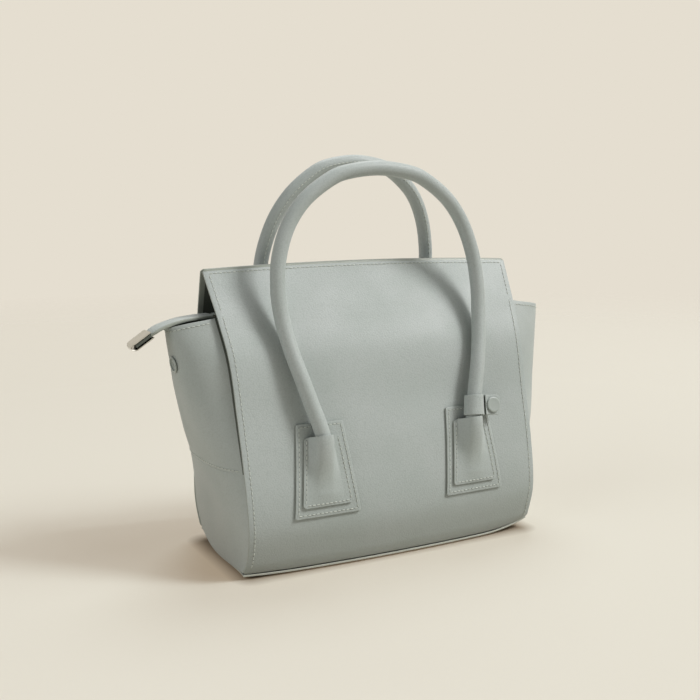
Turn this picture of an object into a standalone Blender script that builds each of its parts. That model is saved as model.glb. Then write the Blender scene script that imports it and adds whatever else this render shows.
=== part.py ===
"""Small structured leather handbag with wing gussets, two tube handles and a recessed zip.

Metres, +Z up. The origin is the centre of the base, on the surface the bag stands on.
+X runs along the width, to the right of someone who looks at the front, and -Y is the front.
"""

from math import asin, atan2, cos, pi, radians, sin, sqrt, tan

import bmesh
import bpy
from mathutils import Matrix, Vector

# Body of the bag
fold_height = 0.192        # where the gussets end, the zip is sewn in and the upper panels bend
ridge_rise = 0.033         # from there up to the top edge of the panels at their corners
ridge_crown = 0.003        # the ridge stands this much higher at mid-width
mouth_width = 0.266        # panel width at the fold
ridge_width = 0.2735       # panel width at the ridge
bag_depth = 0.123          # front to back at the side seams, at its deepest
wing_reach = 0.0355        # each wing's tip stands this far past the end of the mouth
waist_height = 0.080       # the seam between a wing and its lower gusset
wing_dip = 0.009           # how far the wing's top edge sinks towards the crease
base_bow = 0.007           # the long base edges swell this much at mid-width
ridge_height = fold_height + ridge_rise
wing_span = mouth_width + 2 * wing_reach

# Materials' thicknesses and the clearances between them
panel_leather = 0.0015
gusset_leather = 0.0012
base_leather = 0.0023
board = 0.0010
base_board = 0.0018
lining_cloth = 0.0006
gap = 0.0003               # between pieces that touch
ridge_gap = 0.0006         # between the two upper panels
seam_gap = 0.0004          # between the two sides of a fold or a butt seam
seam_allowance = 0.008     # gusset edge turned in behind the panel
panel_lip = 0.0015         # the panel's edge stands this far past the gusset
board_margin = 0.012       # from the panel's edge to its board
board_base_margin = 0.006
lining_ease = 0.0014       # the lining hangs this far inside the boards
lining_side = 0.006        # the lining hangs this far inside the gussets
lining_nose = 0.0055

# Handles
tube_radius = 0.00575
sleeve_leather = 0.0013
handle_rise = 0.1958       # front handle, from its tabs to the middle of the tube at the top
handle_spread = 0.0887     # half the distance between the legs where they are widest
rear_handle_rise = 0.2018
rear_handle_spread = 0.0775
handle_lean = 0.0356       # how far a handle leans in from its tabs to its top

# Handle patches and tabs
patch_centre = 0.0655
patch_low = 0.0435
patch_high = 0.1110
patch_top_width = 0.0385
patch_bottom_width = 0.0540
patch_leather = 0.0014
tab_low = 0.0510
tab_high = 0.1010
tab_top_width = 0.0290
tab_bottom_width = 0.0415
tab_leather = 0.0014
tab_margin = 0.0025        # flat sewn edge beside the bulge
tab_clearance = 0.0006     # round the tube's end
tube_stand = 0.0015        # the tubes stand off the patches, which leaves room for the keeper
tube_end_low = 0.0600      # the flattened lower end of the tube, under the tab
tube_end_flat = 0.0012

# Zip
facing_leather = 0.0012
facing_drop = 0.010        # flange sewn to the inside of the panel
facing_below_fold = 0.0010
facing_gap = 0.018         # open width between the two facings
tape_end = 0.004           # from the panel's edge to the right end of the tapes
tape_cloth = 0.0006
tape_under_facing = 0.006
tooth_pitch = 0.0060
tooth_width = 0.0017
tooth_root = 0.0023
tooth_reach = 0.0009       # past the middle of the zip
tooth_bead = 0.0007
tooth_height = 0.0024
chain_edge = 0.0026
stop_length = 0.0030
stop_wall = 0.0008

# Slider and its puller
slider_length = 0.0115
slider_nose_width = 0.0064
slider_width = 0.0088
slider_plate = 0.0012
slider_cheek = 0.0011
bail_length = 0.0078
bail_bar = 0.0013
bail_width = 0.0018
bail_window = 0.0026
puller_length = 0.0200
puller_width = 0.0072
puller_thickness = 0.0014
puller_bar = 0.0014
puller_eye = 0.0044

# Zip tail
tail_width = 0.0170
tail_thickness = 0.0027
tail_inset = 0.0020        # the tail starts this far inside the mouth's left end
tail_root_length = 0.0110
cap_length = 0.0185
cap_width = 0.0185
cap_thickness = 0.0045
cap_pocket = 0.0060
tail_reach = 0.0500        # from the bend to the tip
tail_tip_drop = 0.0220
tail_start = mouth_width / 2 - tail_inset
tail_bend = tail_start + tail_root_length

# Press studs
stud_radius = 0.00625
stud_height = 0.0016
stud_forward = 0.0035      # from a wing's crease to its stud
stud_dish_radius = 0.0042
stud_dish = 0.0009
stud_post_radius = 0.0016
stud_post_clearance = 0.0003
stud_washer_radius = 0.0036
stud_washer = 0.0008
stud_washer_gap = 0.0013
side_stud_drop = 0.0360     # from the fold down to the studs on the wings

# Keeper strap on the front handle's right leg
keeper_height = 0.0160
keeper_lift = 0.0012       # from the tab's top edge up to the strap
keeper_leather = 0.0010
keeper_clearance = 0.0005
keeper_tilt = 5            # degrees
keeper_pinch = 0.0100      # from the middle of the leg to where the two plies meet
keeper_reach = 0.0245
keeper_flap_start = 0.0008
keeper_ply_gap = 0.0006
keeper_stud_place = 0.0176
keeper_ball_radius = 0.0018
keeper_socket_radius = 0.0027
overrun = 0.0020           # how far a cutter runs past what it cuts

# Shares chosen by eye of the sizes above: (height, width, depth) of the panels' side seams
panel_shares = (
    (0.00, 0.980, 0.801),
    (0.07, 0.957, 0.905),
    (0.21, 0.958, 1.000),
    (0.42, 0.963, 0.911),
    (0.63, 0.968, 0.755),
    (0.84, 0.978, 0.590),
    (1.00, 1.000, 0.350),
)
# (height, left reach, right reach) of the wings' creases, as shares of half the wing span
crease_shares = (
    (0.00, 0.757, 0.757),
    (0.10, 0.768, 0.775),
    (0.24, 0.794, 0.812),
    (0.41, 0.835, 0.866),
    (0.53, 0.881, 0.917),
    (0.70, 0.931, 0.957),
    (0.81, 0.952, 0.978),
    (0.92, 0.973, 1.003),
    (1.00, 0.982, 1.020),
)
crease_share_power = 3     # how blunt the wings' creases are
# (rise, spread, rear spread, lean, rear lean) up one leg of a handle and on to its top
handle_shares = (
    (0.000, 0.736, 0.843, 0.000, 0.000),
    (0.060, 0.773, 0.865, 0.080, 0.080),
    (0.111, 0.807, 0.885, 0.165, 0.165),
    (0.214, 0.876, 0.928, 0.325, 0.325),
    (0.316, 0.939, 0.965, 0.522, 0.522),
    (0.418, 0.982, 0.990, 0.700, 0.700),
    (0.520, 1.000, 1.000, 0.815, 0.825),
    (0.648, 0.975, 0.975, 0.925, 0.960),
    (0.775, 0.878, 0.878, 0.988, 1.120),
    (0.877, 0.714, 0.714, 1.000, 1.266),
    (0.954, 0.480, 0.480, 1.000, 1.350),
    (0.985, 0.297, 0.297, 1.000, 1.371),
    (1.000, 0.000, 0.000, 1.000, 1.380),
)
# (reach from the bend to the tip, drop from the bend to the tip) of the zip tail
tail_shares = ((0.00, 0.00), (0.20, 0.03), (0.35, 0.08), (0.49, 0.17), (0.60, 0.30), (0.705, 0.48))
bow_share_power = 2.5
# Heights of the rows of faces, from the foot to the waist and from the waist to the fold
foot_row_shares = (0.0, 0.09, 0.20, 0.35, 0.53, 0.76, 1.0)
wing_row_shares = (0.0, 0.17, 0.34, 0.51, 0.68, 0.84, 1.0)

# Counts of faces
panel_columns, wing_columns = 10, 12
tube_sides, tube_steps, core_sides = 12, 26, 6
tab_columns, tab_rows = 12, 5
round_sides = 16


def clear_scene():
    for old in list(bpy.data.objects):
        bpy.data.objects.remove(old, do_unlink=True)


def material(name, colour, roughness, metallic=0.0):
    made = bpy.data.materials.new(name)
    made.use_nodes = True
    shader = made.node_tree.nodes["Principled BSDF"]
    shader.inputs["Base Color"].default_value = (*colour, 1.0)
    shader.inputs["Roughness"].default_value = roughness
    shader.inputs["Metallic"].default_value = metallic
    return made


def smooth(table, at, column):
    """Smooth curve through a table's rows, which rise in their first column."""
    last = len(table) - 1
    i = 0
    while i < last - 1 and at > table[i + 1][0]:
        i += 1
    left, right = table[i], table[i + 1]
    before, after = table[max(i - 1, 0)], table[min(i + 2, last)]
    run = right[0] - left[0]
    slope_in = (right[column] - before[column]) / (right[0] - before[0])
    slope_out = (after[column] - left[column]) / (after[0] - left[0])
    t = (at - left[0]) / run
    return (
        left[column] * (2 * t**3 - 3 * t**2 + 1)
        + right[column] * (3 * t**2 - 2 * t**3)
        + slope_in * run * (t**3 - 2 * t**2 + t)
        + slope_out * run * (t**3 - t**2)
    )


def mix(a, b, t):
    return a + (b - a) * t


def half_width(z):
    """Half the width of the front and back panels at height z."""
    if z <= fold_height:
        return mouth_width / 2 * smooth(panel_shares, z / fold_height, 1)
    return mix(mouth_width, ridge_width, upper_share(z)) / 2


def half_depth(z):
    """From the middle plane to a panel's outer face at its side seam."""
    at_fold = bag_depth / 2 * panel_shares[-1][2]
    if z <= fold_height:
        return bag_depth / 2 * smooth(panel_shares, z / fold_height, 2)
    return mix(at_fold, panel_leather + ridge_gap / 2, upper_share(z))


def upper_share(z):
    return (z - fold_height) / (ridge_height - fold_height)


def bow(z):
    """How far a panel swells past its side seams at mid-width."""
    return base_bow * max(0.0, 1 - z / fold_height) ** bow_share_power


def panel_face(side, across, z):
    """Outer face of a panel; across runs from -1 to 1 and side is -1 at the front."""
    x = across * half_width(z)
    crown = ridge_crown * max(0.0, upper_share(z)) * (1 - across**2)
    return Vector((x, side * (half_depth(z) + bow(z) * (1 - across**2)), z + crown))


def panel_out(side, across, z):
    """Unit direction square to a panel's outer face."""
    step = gap
    along = panel_face(side, across + step, z) - panel_face(side, across - step, z)
    low, high = max(z - step, 0.0), min(z + step, ridge_height)
    if low < fold_height < high:
        high = fold_height
    out = along.cross(panel_face(side, across, high) - panel_face(side, across, low)).normalized()
    return out if out.y * side > 0 else -out


def panel_point(side, across, z, inset):
    """A point this far inside the panel's outer face, square to it."""
    return panel_face(side, across, z) - panel_out(side, across, z) * inset


def panel_heights():
    """Heights of the panels' rows of faces, which the pieces behind them share."""
    start, stop = base_leather + gap, fold_height - seam_gap / 2
    low = [mix(start, waist_height, share) for share in foot_row_shares]
    return low + [mix(waist_height, stop, share) for share in wing_row_shares[1:]]


def crease(side, z):
    """Reach of a wing's crease at height z."""
    column = 1 if side < 0 else 2
    return wing_span / 2 * smooth(crease_shares, z / fold_height, column)


def seam_point(end, z):
    """Where a gusset turns in behind a panel, on the gusset's outer face."""
    return panel_point(end, 1 - panel_lip / half_width(z), z, panel_leather + gap)


def wing_point(side, across, z):
    """A point on a gusset; across runs from -1 at the front seam to 1 at the back seam."""
    seam = seam_point(1, z)
    drop = abs(across) ** crease_share_power
    x = mix(crease(side, z), seam.x, drop)
    return Vector((side * x, across * seam.y, mix(z, seam.z, drop)))


def wing_top(across):
    return fold_height - wing_dip * (1 - across**2)


def new_object(name, mesh, finish):
    made = bpy.data.objects.new(name, mesh)
    bpy.context.scene.collection.objects.link(made)
    made.data.materials.append(finish)
    return made


def finish_mesh(bm, name, smooth_angle):
    mesh = bpy.data.meshes.new(name)
    bm.to_mesh(mesh)
    bm.free()
    if smooth_angle:
        mesh.shade_smooth()
        mesh.set_sharp_from_angle(angle=radians(smooth_angle))
    return mesh


def sheet(name, rows, wall, outward, finish, smooth_angle=40):
    """A sheet of leather or cloth through rows of points, its outer face on the points."""
    bm = bmesh.new()
    previous = None
    for row in rows:
        line = [bm.verts.new(point) for point in row]
        if previous:
            for i in range(len(line) - 1):
                bm.faces.new((previous[i], previous[i + 1], line[i + 1], line[i]))
        previous = line
    bm.normal_update()
    facing = sum(face.normal.dot(outward(face.calc_center_median())) for face in bm.faces)
    if facing < 0:
        bmesh.ops.reverse_faces(bm, faces=bm.faces[:])
    made = new_object(name, finish_mesh(bm, name, smooth_angle), finish)
    add_wall(made, wall)
    return made


def add_wall(made, wall):
    """Thickness on the inner side of the object's faces."""
    solid = made.modifiers.new("Wall", "SOLIDIFY")
    solid.thickness = wall
    solid.offset = -1.0
    solid.use_even_offset = True


def tube(name, rings, finish, wall=0.0, smooth_angle=40):
    """A lofted body through closed rings; open-ended with a wall, or capped without one."""
    bm = bmesh.new()
    loops = [[bm.verts.new(point) for point in ring] for ring in rings]
    for low, high in zip(loops, loops[1:]):
        for i in range(len(low)):
            j = (i + 1) % len(low)
            bm.faces.new((low[i], low[j], high[j], high[i]))
    ends = [bm.faces.new(loops[0]), bm.faces.new(loops[-1])]
    bmesh.ops.recalc_face_normals(bm, faces=bm.faces[:])
    if wall:
        bmesh.ops.delete(bm, geom=ends, context="FACES_ONLY")
    made = new_object(name, finish_mesh(bm, name, smooth_angle), finish)
    if wall:
        add_wall(made, wall)
    return made


def plate(name, outline, low, high, finish, frame=None, smooth_angle=30):
    """An outline in the XY plane made into a plate between two heights."""
    bm = bmesh.new()
    face = bm.faces.new([bm.verts.new((x, y, low)) for x, y in outline])
    grown = bmesh.ops.extrude_face_region(bm, geom=[face])
    raised = [item for item in grown["geom"] if isinstance(item, bmesh.types.BMVert)]
    bmesh.ops.translate(bm, verts=raised, vec=(0, 0, high - low))
    bmesh.ops.recalc_face_normals(bm, faces=bm.faces[:])
    if frame:
        bmesh.ops.transform(bm, matrix=frame, verts=bm.verts[:])
    return new_object(name, finish_mesh(bm, name, smooth_angle), finish)


def turned(name, profile, frame, finish, sides=round_sides):
    """A closed profile of (radius, height) points turned about the frame's Z axis."""
    bm = bmesh.new()
    rings = []
    for radius, height in profile:
        if radius == 0:
            rings.append([bm.verts.new((0, 0, height))])
            continue
        turns = [2 * pi * i / sides for i in range(sides)]
        rings.append([bm.verts.new((radius * cos(a), radius * sin(a), height)) for a in turns])
    closed = profile[0][0] != 0
    pairs = list(zip(rings, rings[1:] + rings[:1])) if closed else list(zip(rings, rings[1:]))
    for low, high in pairs:
        for i in range(sides):
            j = (i + 1) % sides
            corners = [low[i % len(low)], low[j % len(low)], high[j % len(high)], high[i % len(high)]]
            bm.faces.new(list(dict.fromkeys(corners)))
    bmesh.ops.recalc_face_normals(bm, faces=bm.faces[:])
    bmesh.ops.transform(bm, matrix=frame, verts=bm.verts[:])
    return new_object(name, finish_mesh(bm, name, 35), finish)


def cut(target, cutter):
    """Takes the cutter out of the target and hides the cutter."""
    cutter.hide_render = True
    cutter.display_type = "WIRE"
    hole = target.modifiers.new("Cut " + cutter.name, "BOOLEAN")
    hole.operation = "DIFFERENCE"
    hole.object = cutter


def axes_at(place, up, across):
    """A frame at place whose Z is up and whose X is as near to across as it can be."""
    z = up.normalized()
    y = z.cross(across).normalized()
    return Matrix.Translation(place) @ Matrix((y.cross(z), y, z)).transposed().to_4x4()


def origin_to(made, place):
    """Moves the object's origin without moving its shape."""
    made.data.transform(Matrix.Translation(-place))
    made.location = place


def rounded(width, length, radius, steps=4):
    """Outline of a plate from x=0 to x=length whose far corners are rounded."""
    points = [(0, -width / 2)]
    for side in (-1, 1):
        for i in range(steps + 1):
            a = pi / 2 * (i / steps if side < 0 else 1 - i / steps)
            x = length - radius + radius * sin(a)
            points.append((x, side * (width / 2 - radius + radius * cos(a))))
    return points + [(0, width / 2)]


def away_from_middle(point):
    return Vector((point.x, point.y, 0)).normalized()


def places(columns):
    """Even places across a sheet, from -1 to 1."""
    return [2 * i / columns - 1 for i in range(columns + 1)]


def make_panels(leather):
    for name, side in (("front_panel", -1), ("back_panel", 1)):
        rows = [[panel_face(side, s, z) for s in places(panel_columns)] for z in panel_heights()]
        sheet(name, rows, panel_leather, lambda p, side=side: Vector((0, side, 0)), leather)


def make_upper_panels(leather):
    """The upper part of each panel, which leans in to the ridge and bends open at the fold."""
    for name, side in (("front_upper_panel", -1), ("back_upper_panel", 1)):
        heights = (fold_height + seam_gap / 2, mix(fold_height, ridge_height, 1 / 2), ridge_height)
        rows = [[panel_face(side, s, z) for s in places(panel_columns)] for z in heights]
        made = sheet(name, rows, panel_leather, lambda p, side=side: Vector((0, side, 0)), leather)
        origin_to(made, Vector((0, side * half_depth(fold_height), fold_height)))


def gusset_row(side, z_at):
    """One row of a gusset: front seam allowance, front seam, crease, back seam, back allowance."""
    z = z_at(1)
    inner = 1 - (panel_lip + seam_allowance) / half_width(z)
    front, back = [panel_point(end, side * inner, z, panel_leather + gap) for end in (-1, 1)]
    return [front] + [wing_point(side, s, z_at(s)) for s in places(wing_columns)] + [back]


def make_gussets(leather):
    low = waist_height + seam_gap / 2
    start, stop = base_leather + gap, waist_height - seam_gap / 2
    for word, side in (("left", -1), ("right", 1)):
        rows = [gusset_row(side, lambda s: mix(low, wing_top(s), share)) for share in wing_row_shares]
        wing = sheet(word + "_wing_gusset", rows, gusset_leather, away_from_middle, leather)
        cut(wing, stud_hole(word, side))
        rows = [gusset_row(side, lambda s: mix(start, stop, share)) for share in foot_row_shares]
        sheet(word + "_lower_gusset", rows, gusset_leather, away_from_middle, leather)


def section(panel_at, wing_at):
    """Points round a level section of the bag: front, right wing, back, left wing."""
    edge, turn = places(panel_columns), places(wing_columns)[1:-1]
    points = [panel_at(-1, s) for s in edge] + [wing_at(1, s) for s in turn]
    return points + [panel_at(1, -s) for s in edge] + [wing_at(-1, -s) for s in turn]


def base_outline(margin):
    """The base's outline, this far inside the foot of the panels and gussets."""
    foot = base_leather + gap
    corner_x, corner_y = half_width(foot) - margin, half_depth(foot) - margin

    def panel_at(side, s):
        return (s * corner_x, side * (corner_y + bow(foot) * (1 - s**2)))

    def wing_at(side, s):
        drop = abs(s) ** crease_share_power
        return (side * mix(crease(side, foot) - margin, corner_x, drop), s * corner_y)

    return section(panel_at, wing_at)


def make_base(leather, fibre):
    plate("base_panel", base_outline(0.0), 0.0, base_leather, leather)
    low = base_leather + gap
    plate("base_board", base_outline(board_base_margin), low, low + base_board, fibre)


def make_boards(fibre):
    """Stiffening boards glued behind the panels."""
    low = base_leather + base_board + board_base_margin
    high = fold_height - facing_below_fold - facing_drop - gap
    heights = [low] + [z for z in panel_heights() if low < z < high] + [high]
    for name, side in (("front_board", -1), ("back_board", 1)):
        rows = []
        for z in heights:
            reach = 1 - board_margin / half_width(z)
            rows.append([panel_point(side, reach * s, z, panel_leather + gap) for s in places(panel_columns)])
        sheet(name, rows, board, lambda p, side=side: Vector((0, side, 0)), fibre)


def lining_ring(z, shrink):
    """One ring of the lining, clear of the boards, the seam allowances and the studs."""
    inset = panel_leather + max(board, gusset_leather) + lining_ease + shrink
    reach = 1 - (panel_lip + lining_side + shrink) / half_width(z)

    def panel_at(side, s):
        return panel_point(side, reach * s, z, inset)

    def wing_at(side, s):
        corner = panel_at(1, 1.0)
        nose = crease(side, z) - lining_nose - shrink
        drop = abs(s) ** crease_share_power
        return Vector((side * mix(nose, corner.x, drop), s * corner.y, mix(z, corner.z, drop)))

    return section(panel_at, wing_at)


def make_lining(cloth):
    """A sewn bag of cloth, open at the top behind the zip facings."""
    floor_z = base_leather + base_board + 3 * gap
    top_z = fold_height - facing_below_fold - wing_dip
    heights = [z for z in panel_heights() if floor_z + lining_side < z < top_z][::3] + [top_z]
    rings = [lining_ring(floor_z, lining_side)] + [lining_ring(z, 0.0) for z in heights]
    bm = bmesh.new()
    loops = [[bm.verts.new(point) for point in ring] for ring in rings]
    for low, high in zip(loops, loops[1:]):
        for i in range(len(low)):
            j = (i + 1) % len(low)
            bm.faces.new((low[i], low[j], high[j], high[i]))
    bm.faces.new(loops[0])
    lid = bm.faces.new(loops[-1])
    bmesh.ops.recalc_face_normals(bm, faces=bm.faces[:])
    bmesh.ops.delete(bm, geom=[lid], context="FACES_ONLY")
    made = new_object("lining_bag", finish_mesh(bm, "lining_bag", 40), cloth)
    add_wall(made, lining_cloth)


def facing_top():
    return fold_height - facing_below_fold


def tape_top():
    return panel_point(1, 0.0, facing_top(), panel_leather + gap).z - facing_leather - gap


def make_zip_facings(leather):
    """Leather strips from the inside of each panel to the zip."""
    for name, side in (("front_zip_facing", -1), ("rear_zip_facing", 1)):
        z = facing_top()
        reach = 1 - (panel_lip + seam_allowance + gap) / half_width(z)
        inset = panel_leather + gap
        flange = [panel_point(side, reach * s, z - facing_drop, inset) for s in places(panel_columns)]
        corner = [panel_point(side, reach * s, z, inset) for s in places(panel_columns)]
        edge = [Vector((p.x, side * facing_gap / 2, p.z)) for p in corner]
        up = Vector((0, 0, 1))
        sheet(name, [flange, corner, edge], facing_leather, lambda p: up, leather)


def make_zip_tapes(cloth):
    top = tape_top()
    left, right = -tail_start + gap, half_width(top) - tape_end
    outer = facing_gap / 2 + tape_under_facing
    inner = chain_edge + gap
    for name, side in (("front_zip_tape", -1), ("rear_zip_tape", 1)):
        outline = [(left, side * inner), (right, side * inner), (right, side * outer), (left, side * outer)]
        plate(name, outline, top - tape_cloth, top, cloth)


def chain_ends():
    """Where the teeth begin and end along X."""
    right = half_width(fold_height) - tape_end - stop_length - slider_length / 2
    left = -tail_start + gap + 2 * stop_length
    return left, right


def make_zip_teeth(metal):
    """Two racks of teeth that mesh with room to spare."""
    left, right = chain_ends()
    count = int((right - left) / tooth_pitch)
    middle = tape_top() - tape_cloth / 2
    low, high = middle - tooth_height / 2, middle + tooth_height / 2
    for name, side, first in (("front_zip_teeth", -1, 0.0), ("rear_zip_teeth", 1, tooth_pitch / 2)):
        neck = side * (chain_edge - tooth_bead)
        tip = -side * tooth_reach
        edge = [(left, neck)]
        for i in range(count):
            x = left + tooth_pitch / 4 + first + i * tooth_pitch
            if x + tooth_root / 2 > right:
                continue
            edge += [(x - tooth_root / 2, neck), (x - tooth_width / 2, tip)]
            edge += [(x + tooth_width / 2, tip), (x + tooth_root / 2, neck)]
        edge = [p for i, p in enumerate(edge) if i == 0 or p != edge[i - 1]]
        outline = edge + [(right, neck), (right, side * chain_edge), (left, side * chain_edge)]
        plate(name, outline, low, high, metal, smooth_angle=0)


def make_zip_stops(metal):
    """Clips across both tapes at the two ends of the chain."""
    left, right = chain_ends()
    top = tape_top() + gap
    outer = chain_edge + gap + stop_wall
    places = (("zip_left_stop", left - gap - stop_length), ("zip_right_stop", right + slider_length / 2 + gap))
    for name, x in places:
        outline = [(x, -outer), (x + stop_length, -outer), (x + stop_length, outer), (x, outer)]
        plate(name, outline, top, top + stop_wall, metal)


def box(name, low, high, finish):
    outline = [(low[0], low[1]), (high[0], low[1]), (high[0], high[1]), (low[0], high[1])]
    return plate(name, outline, low[2], high[2], finish)


def slider_centre():
    right = chain_ends()[1]
    top = tape_top() - tape_cloth / 2 + tooth_height / 2 + gap
    return Vector((right - slider_length / 2, 0, top))


def make_slider(metal):
    """Top plate with cheeks and a bail, and the plate under the chain."""
    at = slider_centre()
    half, nose, wide = slider_length / 2, slider_nose_width / 2, slider_width / 2
    outline = [(-half, -nose), (half / 3, -wide), (half, -wide), (half, wide), (half / 3, wide), (-half, nose)]
    frame = Matrix.Translation(at)
    body = plate("zip_slider", outline, 0.0, slider_plate, metal, frame)
    cheek_top = slider_plate / 2
    cheek_low = -(tooth_height - tape_cloth) / 2
    bail = make_bail(metal, frame)
    joins = [bail]
    for side in (-1, 1):
        inner, outer = side * (wide - slider_cheek), side * wide
        low, high = sorted((inner, outer))
        cheek = [(half / 3, low), (half, low), (half, high), (half / 3, high)]
        joins.append(plate("cheek_block", cheek, cheek_low, cheek_top, metal, frame))
    for block in joins:
        block.hide_render = True
        block.display_type = "WIRE"
        union = body.modifiers.new("Join " + block.name, "BOOLEAN")
        union.operation = "UNION"
        union.object = block
    origin_to(body, at)
    under = tape_top() - tape_cloth / 2 - tooth_height / 2 - gap
    low_frame = Matrix.Translation((at.x, 0, under - slider_plate))
    base = plate("zip_slider_base", outline, 0.0, slider_plate, metal, low_frame)
    origin_to(base, at)
    return at


def bail_base():
    return slider_plate - bail_bar / 2


def make_bail(metal, frame):
    """The arch that the puller hangs on, standing along the slider."""
    half, top = bail_length / 2, slider_plate + bail_window + bail_bar
    shoulder = bail_bar
    arch = [(-half, bail_base()), (half, bail_base()), (half, top - shoulder), (half - shoulder, top)]
    arch += [(shoulder - half, top), (-half, top - shoulder)]
    turn = Matrix.Rotation(pi / 2, 4, "X")
    width = bail_width / 2
    block = plate("bail_block", arch, -width, width, metal, frame @ turn)
    reach = half - bail_bar
    window = [(-reach, slider_plate), (reach, slider_plate), (reach, top - bail_bar), (-reach, top - bail_bar)]
    hole = plate("bail_window", window, -width - overrun, width + overrun, metal, frame @ turn)
    cut(block, hole)
    return block


def puller_axis():
    at = slider_centre()
    return at + Vector((0, 0, slider_plate + bail_window / 2))


def make_puller(metal):
    """A tapered tab whose eye turns on a bar inside the bail."""
    at = puller_axis()
    outline = rounded(puller_width, puller_length, puller_width / 3)
    outline = [(-(x - puller_bar / 2), y) for x, y in outline]
    low = -puller_thickness / 2
    body = plate("zip_puller", outline, low, -low, metal, Matrix.Translation(at))
    eye = [(-puller_bar / 2, -1), (-puller_bar / 2, 1), (-puller_eye - puller_bar / 2, 1)]
    eye += [(-puller_eye - puller_bar / 2, -1)]
    half_eye = bail_width / 2 + 2 * gap
    hole = [(x, y * half_eye) for x, y in eye]
    cut(body, plate("puller_eye_block", hole, low - overrun, overrun - low, metal, Matrix.Translation(at)))
    origin_to(body, at)


def tail_line():
    """Middle of the zip tail: (x, z) points from its bend to the mouth of the metal end."""
    bend_z = tape_top() + tail_thickness / 2
    return [(-(tail_bend + tail_reach * a), bend_z - tail_tip_drop * b) for a, b in tail_shares]


def strap_rows(line, thickness):
    """Rows across a strap whose middle follows the line, on its upper face."""
    rows = []
    for i, (x, z) in enumerate(line):
        ahead, behind = line[min(i + 1, len(line) - 1)], line[max(i - 1, 0)]
        along = Vector((ahead[0] - behind[0], 0, ahead[1] - behind[1])).normalized()
        up = Vector((along.z, 0, -along.x))
        if up.z < 0:
            up.negate()
        middle = Vector((x, 0, z)) + up * thickness / 2
        rows.append([middle + Vector((0, side * tail_width / 2, 0)) for side in (-1, 1)])
    return rows


def make_zip_tail(leather, metal):
    """The leather-covered end of the zip, which lies over the left wing and hangs beside it."""
    line = tail_line()
    up = Vector((0, 0, 1))
    fixed = [(-tail_start, line[0][1]), (-tail_bend + seam_gap, line[0][1])]
    sheet("zip_tail_root", strap_rows(fixed, tail_thickness), tail_thickness, lambda p: up, leather)
    pivot = Vector((-tail_bend, 0, line[0][1] + tail_thickness / 2))
    direction = Vector((line[-1][0] - line[-2][0], 0, line[-1][1] - line[-2][1])).normalized()
    mouth = Vector((line[-1][0], 0, line[-1][1]))
    tip = mouth + direction * (cap_pocket - gap)
    strap_line = line + [(tip.x, tip.z)]
    strap = sheet("zip_tail_strap", strap_rows(strap_line, tail_thickness), tail_thickness, lambda p: up, leather)
    origin_to(strap, pivot)
    frame = axes_at(mouth, Vector((0, 1, 0)).cross(direction) * -1, direction)
    outline = rounded(cap_width, cap_length, cap_width / 3)
    half = cap_thickness / 2
    cap = plate("zip_tail_cap", outline, -half, half, metal, frame)
    slot_half = tail_width / 2 + gap
    slot = [(-overrun, -slot_half), (cap_pocket, -slot_half), (cap_pocket, slot_half), (-overrun, slot_half)]
    thick = tail_thickness / 2 + gap
    cut(cap, plate("cap_slot_block", slot, -thick, thick, metal, frame))
    origin_to(cap, pivot)


def on_panel(side, x, z, out):
    """A point over a panel at this x and height, this far out from its face."""
    return panel_point(side, x / half_width(z), z, -out)


def make_patches(leather):
    """Trapezoid patches sewn to the panels under the handle tabs."""
    for word, side in (("front", -1), ("rear", 1)):
        for hand, end in (("left", -1), ("right", 1)):
            rows = []
            for share in [i / tab_rows for i in range(tab_rows + 1)]:
                z = mix(patch_low, patch_high, share)
                half = mix(patch_bottom_width, patch_top_width, share) / 2
                columns = [end * patch_centre + half * s for s in places(tab_columns // 2)]
                rows.append([on_panel(side, x, z, gap + patch_leather) for x in columns])
            name = f"{word}_{hand}_patch"
            sheet(name, rows, patch_leather, lambda p, side=side: Vector((0, side, 0)), leather)


def tab_hump(x, foot):
    """Outer height of a tab pulled over the tube's end and down to its sewn edge at +-foot."""
    radius = tube_radius + tab_clearance + tab_leather
    rise = tube_radius + tube_stand - tab_leather
    span = sqrt(foot**2 + rise**2)
    slope = atan2(rise, foot) + asin(radius / span)
    touch = foot - sqrt(span**2 - radius**2) * cos(slope)
    if abs(x) <= touch:
        return tube_radius + tube_stand + sqrt(radius**2 - x**2)
    return tab_leather + max(0.0, foot - abs(x)) * tan(slope)


def flat_share(z, least):
    """How much of the tube's height is left at height z under the tab."""
    share = min(1.0, max(0.0, (z - tube_end_low) / (tab_high - tube_end_low)))
    return mix(least, 1.0, share * share * (3 - 2 * share))


def tab_seat():
    """From a panel's face to the underside of a tab or of a tube's end."""
    return patch_leather + 2 * gap


def make_tabs(leather):
    """Tabs sewn over the flattened ends of the handle tubes."""
    least = (tube_end_flat + tab_clearance) / (2 * tube_radius)
    for word, side in (("front", -1), ("rear", 1)):
        for hand, end in (("left", -1), ("right", 1)):
            rows = []
            for share in [i / tab_rows for i in range(tab_rows + 1)]:
                z = mix(tab_low, tab_high, share)
                half = mix(tab_bottom_width, tab_top_width, share) / 2
                tall = flat_share(z, least) * min(1.0, (z - tab_low) / (tube_end_low - tab_low))
                line = []
                for x in [half * s for s in places(tab_columns)]:
                    out = tab_leather + (tab_hump(x, half - tab_margin) - tab_leather) * tall
                    line.append(on_panel(side, end * patch_centre + x, z, tab_seat() + out))
                rows.append(line)
            name = f"{word}_{hand}_tab"
            sheet(name, rows, tab_leather, lambda p, side=side: Vector((0, side, 0)), leather)


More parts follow.
